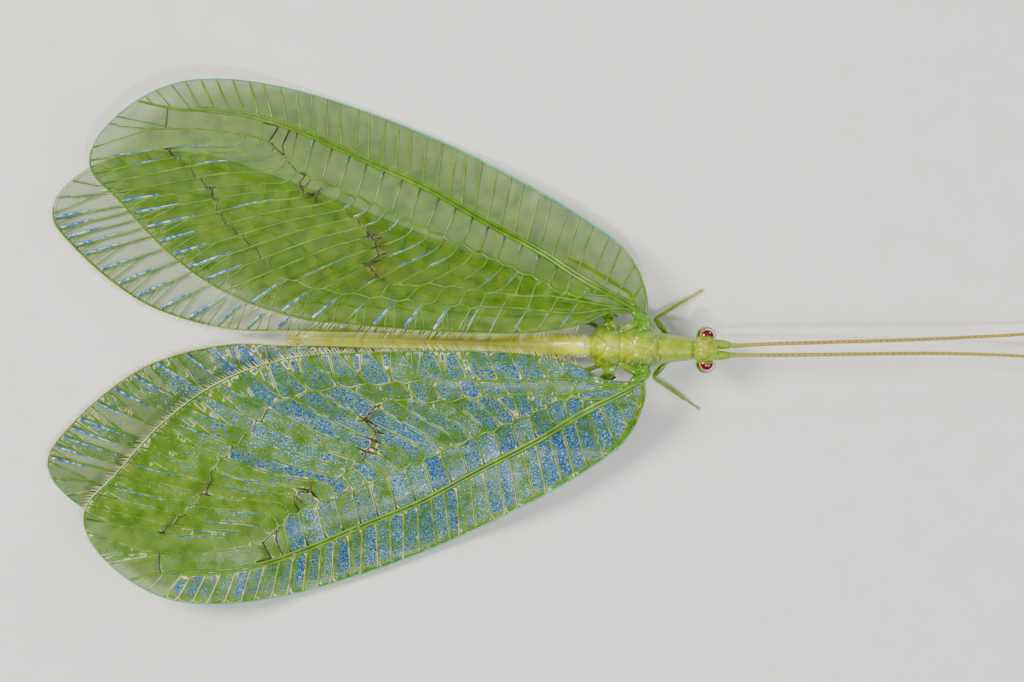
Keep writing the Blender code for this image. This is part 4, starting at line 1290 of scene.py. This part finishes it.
def makeEye(name, side, finish):
    cx, cy, cz = eyeMaking["centre"]
    rx, ry, rz = eyeMaking["radii"]
    cy += 0.025 if side < 0 else 0.0
    rings, sides = eyeMaking["rings"], eyeMaking["sides"]
    verts, faces = [], []
    for r in range(rings):
        lean = 0.5 * math.pi * (r / rings * 1.12 - 0.12)
        for k in range(sides):
            a = 2 * math.pi * k / sides
            verts.append((cx + rx * math.cos(lean) * math.cos(a), side * (cy + ry * math.sin(lean)),
                          cz + rz * math.cos(lean) * math.sin(a)))
    verts.append((cx, side * (cy + ry), cz))
    verts.append((cx, side * (cy - 0.05), cz))
    for k in range(sides):
        n = (k + 1) % sides
        for r in range(rings - 1):
            faces.append((r * sides + k, r * sides + n, (r + 1) * sides + n, (r + 1) * sides + k))
        faces.append(((rings - 1) * sides + k, (rings - 1) * sides + n, len(verts) - 2))
        faces.append((n, k, len(verts) - 1))
    eye = newObject(name, verts, [], faces)
    turnOutward(eye.data)
    # The ring and crescent place the painted reflection; the rim is a pale ring round the outline, painted
    # light, and the golden lower part, the eye's own colour
    ring, crescent, rim = [], [], []
    for x, y, z in verts:
        dx, dy, dz = (x - cx - 0.02), (abs(y) - cy - 0.02), z - (cz + 0.36)
        near = math.sqrt((dx / 0.27) ** 2 + (dy / 0.225) ** 2 + (min(dz, 0.0) / 0.7) ** 2)
        ring.append(min(near, 1.2) * 0.8)
        crescent.append(ease((dx * 0.9 + dy * 1.1) * 8.0 - 0.9))
        rim.append(max(0.75 * (1.0 - ease((abs(y) - cy + 0.03) / 0.03)), ease((cz + 0.24 - z) / 0.16)))
    for label, values in (("ring", ring), ("crescent", crescent), ("rim", rim)):
        storeValues(eye.data, label, values)
    eye.data.materials.append(finish)
    eye.data.shade_smooth()
    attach(eye, "root")
    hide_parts(name.replace("_dome", ""))


eyeLens = eyeFinish()
makeEye("eye_left_dome", 1, eyeLens)
makeEye("eye_right_dome", -1, eyeLens)
print("eyes")


# The feelers: a stout first joint, a short second one, and a long whip of small rings with hairs
feelerMaking = {
    "paths": {
        "left": [(3.66, 0.15, 1.53), (4.5, 0.22, 1.52), (6.5, 0.34, 1.4), (9.4, 0.51, 1.2),
                 (11.0, 0.63, 1.07), (12.9, 0.79, 0.95), (16.5, 1.3, 0.72), (20.0, 1.97, 0.52),
                 (22.9, 2.57, 0.4)],
        "right": [(3.66, -0.145, 1.53), (4.5, -0.128, 1.52), (6.5, -0.05, 1.4), (9.4, 0.07, 1.2),
                  (11.0, 0.1, 1.07), (12.9, 0.08, 0.95), (16.5, -0.12, 0.72), (20.0, -0.67, 0.52),
                  (22.9, -1.37, 0.4)],
    },
    "ringLength": 0.2,
    "radii": (0.065, 0.034),
    # Within a ring: how far along, how wide and how dark
    "ring": ((0.0, 0.86, 0.85), (0.12, 0.98, 0.55), (0.6, 1.04, 0.5), (0.93, 1.0, 0.55)),
    "hairsPerRing": 6,
    "hairLength": (0.07, 0.1),
    "scape": [(3.0, 0.18, 1.48, 0.1), (3.08, 0.178, 1.49, 0.142), (3.22, 0.172, 1.51, 0.152),
              (3.36, 0.163, 1.52, 0.13), (3.46, 0.157, 1.52, 0.095), (3.5, 0.154, 1.525, 0.064),
              (3.54, 0.152, 1.53, 0.08), (3.62, 0.15, 1.53, 0.08), (3.68, 0.148, 1.53, 0.06)],
    "seed": 33,
}


def feelerFinish():
    # Feeler chitin: straw coloured and matt, each ring darker at its joint, green at the root
    made, add = newMaterial("straw feeler chitin")
    tint = add("ShaderNodeAttribute", attribute_name="tint").outputs["Fac"]
    place = add("ShaderNodeTexCoord").outputs["Object"]
    cloud = add("ShaderNodeTexNoise", {"Vector": place, "Scale": 9000.0, "Detail": 2.0})
    mottle = add("ShaderNodeMapRange", {"Value": cloud, "To Min": -0.05, "To Max": 0.05})
    tone = add("ShaderNodeMath", {0: tint, 1: mottle}, operation="ADD")
    colour = add("ShaderNodeValToRGB", {"Fac": tone}, [
        (0.05, "#7e9a06"), (0.3, "#a09418"), (0.5, "#b49a38"), (0.75, "#7a5614"), (0.95, "#4a2e0a")])
    shader = add("ShaderNodeBsdfPrincipled", {
        "Base Color": colour, "Roughness": 0.42, "IOR": 1.5, "Subsurface Weight": 0.05,
        "Subsurface Scale": 0.0001})
    add("ShaderNodeOutputMaterial", {"Surface": shader})
    return made


def makeFeeler(side, finish, hairs):
    sign = 1 if side == "left" else -1
    chance = random.Random(feelerMaking["seed"] + sign)
    base = smoothPath([(x, y * sign, z, r) for x, y, z, r in feelerMaking["scape"]], 0.02)
    lines = [[(Vector(p[:3]), p[3], 0.04 + 0.1 * ease((p.x - 3.5) / 0.1)) for p in base]]
    path = smoothPath(feelerMaking["paths"][side], 0.1)
    length = pathLength(path)
    count = round(length / feelerMaking["ringLength"])
    whip, points = [], []
    for k in range(count):
        for part, wide, tone in feelerMaking["ring"]:
            f = (k + part) / count
            radius = blend(*feelerMaking["radii"], f) * wide
            p = pointAlong(path, f)
            whip.append((p, radius, tone if k > 3 else blend(0.2, tone, k / 4)))
        for turn in range(feelerMaking["hairsPerRing"]):
            f = (k + 0.5 + 0.3 * (turn % 2)) / count
            p = pointAlong(path, f)
            ahead = aheadAt(path, f, 0.003)
            a = turn * math.pi / 3 + chance.uniform(0, 1)
            out = Vector((0, math.cos(a), math.sin(a)))
            lean = (ahead + out * 0.75).normalized()
            foot = p + out * blend(*feelerMaking["radii"], f) * 0.85
            points.append((foot, lean, chance.uniform(*feelerMaking["hairLength"])))
    whip.append((path[-1], feelerMaking["radii"][1] * 0.5, 0.6))
    lines.append(whip)
    tubes = linesToTubes(f"antenna_{side}_rings", lines, 10, finish)
    bristles = pointsToBristles(f"antenna_{side}_bristles", points, 3, 0.09, hairs)
    for piece in (tubes, bristles):
        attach(piece, "root")
        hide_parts(f"antenna_{side}")


feelerChitin = feelerFinish()
bodyBristle = cloudedMaterial("pale body bristle", 1500.0, 1.0, [(0.35, "#8d8440"), (0.65, "#b5a95a")],
                              bristleSurface)
for side in ("left", "right"):
    makeFeeler(side, feelerChitin, bodyBristle)
print("feelers")


# The legs: hip, thigh, shin and a foot of five joints with two claws, each thinnest at its joints
legMaking = {
    "leg_fore": [(1.64, 0.2, 1.12), (1.5, 0.42, 0.55), (1.08, 0.94, 0.42), (2.12, 1.6, 0.1),
                 (2.55, 1.88, 0.05)],
    "leg_mid": [(0.62, 0.34, 1.12), (0.55, 0.74, 0.5), (0.3, 1.72, 0.44), (-1.22, 2.58, 0.1),
                (-1.75, 2.8, 0.05)],
    "leg_hind": [(-0.5, 0.32, 1.1), (-0.72, 0.64, 0.46), (-1.75, 1.05, 0.44), (-4.05, 1.3, 0.1),
                 (-4.7, 1.45, 0.05)],
    "radii": {"hip": 0.15, "thigh": 0.085, "shin": 0.052, "foot": 0.038},
    "clawRadii": (0.022, 0.02, 0.016, 0.012, 0.009, 0.006),
    "step": 0.03,
    "bend": 0.09,
    "clear": 0.004,
    "hairStep": 0.035,
    "hairLength": (0.06, 0.1),
    "seed": 41,
}


def legFinish():
    # Leg cuticle: thin and green, paler and yellower towards the feet, waxy
    made, add = newMaterial("pale green leg cuticle")
    tint = add("ShaderNodeAttribute", attribute_name="tint").outputs["Fac"]
    place = add("ShaderNodeTexCoord").outputs["Object"]
    cloud = add("ShaderNodeTexNoise", {"Vector": place, "Scale": 5000.0, "Detail": 3.0})
    colour = add("ShaderNodeValToRGB", {"Fac": cloud}, [(0.3, "#5a8c0a"), (0.7, "#7aa81a")])
    pale = add("ShaderNodeValToRGB", {"Fac": cloud}, [(0.3, "#94941c"), (0.7, "#aca836")])
    # A tint above 1 is the brown of the claws and of the points of the jaws
    burnt = add("ShaderNodeMapRange", {"Value": tint, "From Min": 1.0, "From Max": 1.6})
    for factor, other in ((tint, pale), (burnt, "#4a2408")):
        colour = add("ShaderNodeMix", {0: factor, 6: colour, 7: other}, data_type="RGBA").outputs[2]
    dent = add("ShaderNodeBump", {"Strength": 0.2, "Distance": 0.00001, "Height": cloud})
    shader = add("ShaderNodeBsdfPrincipled", {
        "Base Color": colour, "Roughness": 0.3, "IOR": 1.5, "Subsurface Weight": 0.1,
        "Subsurface Scale": 0.0001, "Normal": dent})
    add("ShaderNodeOutputMaterial", {"Surface": shader})
    return made


def legRadius(f, joints):
    # Radius and tint along a leg from hip to claws
    hip, knee, ankle = joints
    ring = hip + 0.03
    sizes = legMaking["radii"]
    if f < hip:
        t = f / hip
        return sizes["hip"] * (1.0 - 0.35 * t * t), 0.0
    if f < ring:
        return sizes["thigh"] * 0.85, 0.0
    if f < knee:
        t = (f - ring) / (knee - ring)
        return sizes["thigh"] * (0.72 + 0.42 * math.sin(math.pi * min(t * 1.15, 1.0)) ** 0.8), 0.05
    if f < ankle:
        t = (f - knee) / (ankle - knee)
        swelling = 0.18 * math.sin(math.pi * t) + 0.25 * ease((t - 0.8) * 5)
        return sizes["shin"] * (1.0 + swelling), 0.1 + 0.3 * t
    t = (f - ankle) / (1.0 - ankle) * 5
    return sizes["foot"] * (0.75 + 0.4 * math.sin(math.pi * (t % 1.0) ** 1.4)), 0.8


def makeLeg(name, side, finish, hairs):
    sign = 1 if side == "left" else -1
    chance = random.Random(legMaking["seed"] + sign + len(name))
    corners = [Vector((x, y * sign, z)) for x, y, z in legMaking[name]]
    path = [corners[0]]
    for before, corner, after in zip(corners, corners[1:], corners[2:]):
        # Straight between the joints, with a tight bend at each one
        a, b = (corner + (other - corner).normalized() * legMaking["bend"] for other in (before, after))
        path += [a.lerp(corner, t).lerp(corner.lerp(b, t), t) for t in (0.0, 0.25, 0.5, 0.75, 1.0)]
    path.append(corners[-1])
    total, joints = pathLength(path), [nearestAlong(path, c)[1] for c in corners[1:-1]]
    count = round(total / legMaking["step"])
    line, points = [], []
    for k in range(count + 1):
        f = k / count
        radius, tint = legRadius(min(f, 0.9999), joints)
        p = pointAlong(path, f)
        line.append((Vector((p.x, p.y, max(p.z, radius + legMaking["clear"]))), radius, tint))
    lines = [line]
    end = line[-1][0]
    ahead = (path[-1] - path[-2]).normalized()
    across = ahead.cross(upward).normalized()
    for way in (1, -1):
        claw = [end, end + ahead * 0.05 + across * way * 0.04 + Vector((0, 0, 0.012)),
                end + ahead * 0.1 + across * way * 0.05 - Vector((0, 0, 0.025))]
        thinning = zip(smoothPath(claw, 0.02), legMaking["clawRadii"])
        lines.append([(p, r, 1.0 + 0.12 * k) for k, (p, r) in enumerate(thinning)])
    for _ in range(round(total / legMaking["hairStep"])):
        f = chance.uniform(joints[0], 0.99)
        radius = legRadius(f, joints)[0]
        p = pointAlong(path, f)
        ahead = aheadAt(path, f, 0.01)
        a = chance.uniform(-0.4, math.pi + 0.4)
        out = ahead.cross(upward).normalized() * math.cos(a) + upward * math.sin(a)
        root = Vector((p.x, p.y, max(p.z, radius + legMaking["clear"]))) + out * radius * 0.85
        lean = (ahead * 0.9 + out * 0.6).normalized()
        points.append((root, lean, chance.uniform(*legMaking["hairLength"])))
    tubes = linesToTubes(f"{name}_{side}_shape", lines, 12, finish)
    bristles = pointsToBristles(f"{name}_{side}_bristles", points, 3, 0.08, hairs)
    for piece in (tubes, bristles):
        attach(piece, "root")
        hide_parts(f"{name}_{side}")


def makeBodyHairs(finish):
    # Sparse pale hairs over the upper side, denser along the abdomen, where they slant out and back
    chance, mesh, hairs = random.Random(bodyMaking["seed"]), bodySkin.data, []
    shift, count = Vector(bodyShift), len(mesh.vertices)
    for _ in range(bodyMaking["hairs"]):
        vert = mesh.vertices[chance.randrange(count)]
        p, n = vert.co * 1000.0 - shift, vert.normal
        if n.z < 0.15 or abs(p.y) > 0.62 or (p.x > -1.0 and chance.random() < 0.92):
            continue
        out = 1.0 if p.y > 0 else -1.0
        lean = Vector((-0.7, 0.75 * out, 0.0)) + n * (0.25 if p.x < -1.0 else 1.4)
        hairs.append((p - n * 0.012, lean.normalized(), chance.uniform(*bodyMaking["hairLength"])))
    made = pointsToBristles("body_bristles", hairs, 3, 0.06, finish)
    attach(made, "root")
    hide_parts("head", "prothorax", "mesothorax", "metathorax", "abdomen")
    print("body hairs", len(hairs))


makeBodyHairs(wingBristle)


def makePalps(finish):
    # The feelers of the mouth: a long pair with five joints outside and a short pair with three inside
    lines = []
    for joints, size, corners in (
            (5, 0.062, [(2.84, 0.16, 0.8), (2.94, 0.25, 0.58), (3.16, 0.28, 0.43), (3.4, 0.26, 0.36)]),
            (3, 0.05, [(2.8, 0.06, 0.72), (2.86, 0.09, 0.52), (3.04, 0.1, 0.42), (3.16, 0.09, 0.4)])):
        for side in (1, -1):
            path = smoothPath([(x, y * side, z) for x, y, z in corners], 0.02)
            line = []
            for k, p in enumerate(path):
                t = k / (len(path) - 1)
                bulge = abs(math.sin(math.pi * t * joints)) ** 0.5
                line.append((p, size * (0.55 + 0.45 * bulge) * (1.0 - 0.25 * t), 0.2 + 0.5 * (1.0 - bulge)))
            lines.append(line)
    # The jaws: stout hooks that close under the lip, brown towards their points
    for side in (1, -1):
        path = smoothPath([(2.9, 0.2 * side, 0.84), (2.98, 0.2 * side, 0.7), (3.01, 0.1 * side, 0.6),
                           (3.0, 0.015 * side, 0.57)], 0.02)
        last = len(path) - 1
        lines.append([(p, 0.075 * (1.0 - 0.8 * (k / last) ** 1.3), 0.3 + 1.4 * (k / last) ** 2)
                      for k, p in enumerate(path)])
    made = linesToTubes("palps", lines, 10, finish)
    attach(made, "root")
    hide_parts("head")


legCuticle = legFinish()
makePalps(legCuticle)
for side in ("left", "right"):
    for name in ("leg_fore", "leg_mid", "leg_hind"):
        makeLeg(name, side, legCuticle, bodyBristle)
print("legs")


# The set: a pale floor, soft lights and the camera of the photograph, straight above
def areaLight(name, place, size, power, colour="#ffffff"):
    data = bpy.data.lights.new(name, "AREA")
    data.shape, data.size, data.energy, data.color = "DISK", size, power, linear(colour)[:3]
    lamp = bpy.data.objects.new(name, data)
    lamp.location = place
    lamp.rotation_euler = Vector(place).to_track_quat("Z", "Y").to_euler()
    collection.objects.link(lamp)


floorHalf, floorLevel = 0.6, -2e-5  # metres; the level is a hair below the feet
floorMesh = bpy.data.meshes.new("floor")
floorMesh.from_pydata([(x * floorHalf, y * floorHalf, floorLevel)
                       for x, y in ((-1, -1), (1, -1), (1, 1), (-1, 1))], [], [(0, 1, 2, 3)])
# Matt paper: even, very slightly mottled
mattPaper = cloudedMaterial("matt paper floor", 900.0, 4.0, [(0.3, "#f2f1eb"), (0.7, "#f6f5f0")],
                            {"Roughness": 0.85})
floorMesh.materials.append(mattPaper)
floor = bpy.data.objects.new("floor", floorMesh)
collection.objects.link(floor)

world = bpy.data.worlds.new("studio")
world.use_nodes = True
background = world.node_tree.nodes["Background"]
background.inputs["Color"].default_value = linear("#f4f6f8")
background.inputs["Strength"].default_value = 0.3
bpy.context.scene.world = world
areaLight("key", (-0.1, 0.035, 0.12), 0.06, 0.27, "#fffaf0")
areaLight("fill", (0.11, -0.06, 0.12), 0.09, 0.1, "#f2f7ff")
areaLight("rim", (0.1, 0.1, 0.06), 0.03, 0.05)
areaLight("spark", (0.008, -0.055, 0.14), 0.013, 0.08)

cameraData = bpy.data.cameras.new("camera")
cameraData.sensor_width, cameraData.lens = 36.0, 164.6
cameraData.clip_start, cameraData.clip_end = 0.01, 10.0
camera = bpy.data.objects.new("camera", cameraData)
camera.location = (*inMetres([(-3.46, 0.09, 0)])[0][:2], 0.15)
camera.rotation_euler = (0, 0, math.radians(1.67))
collection.objects.link(camera)
bpy.context.scene.camera = camera

print("scene dressed")
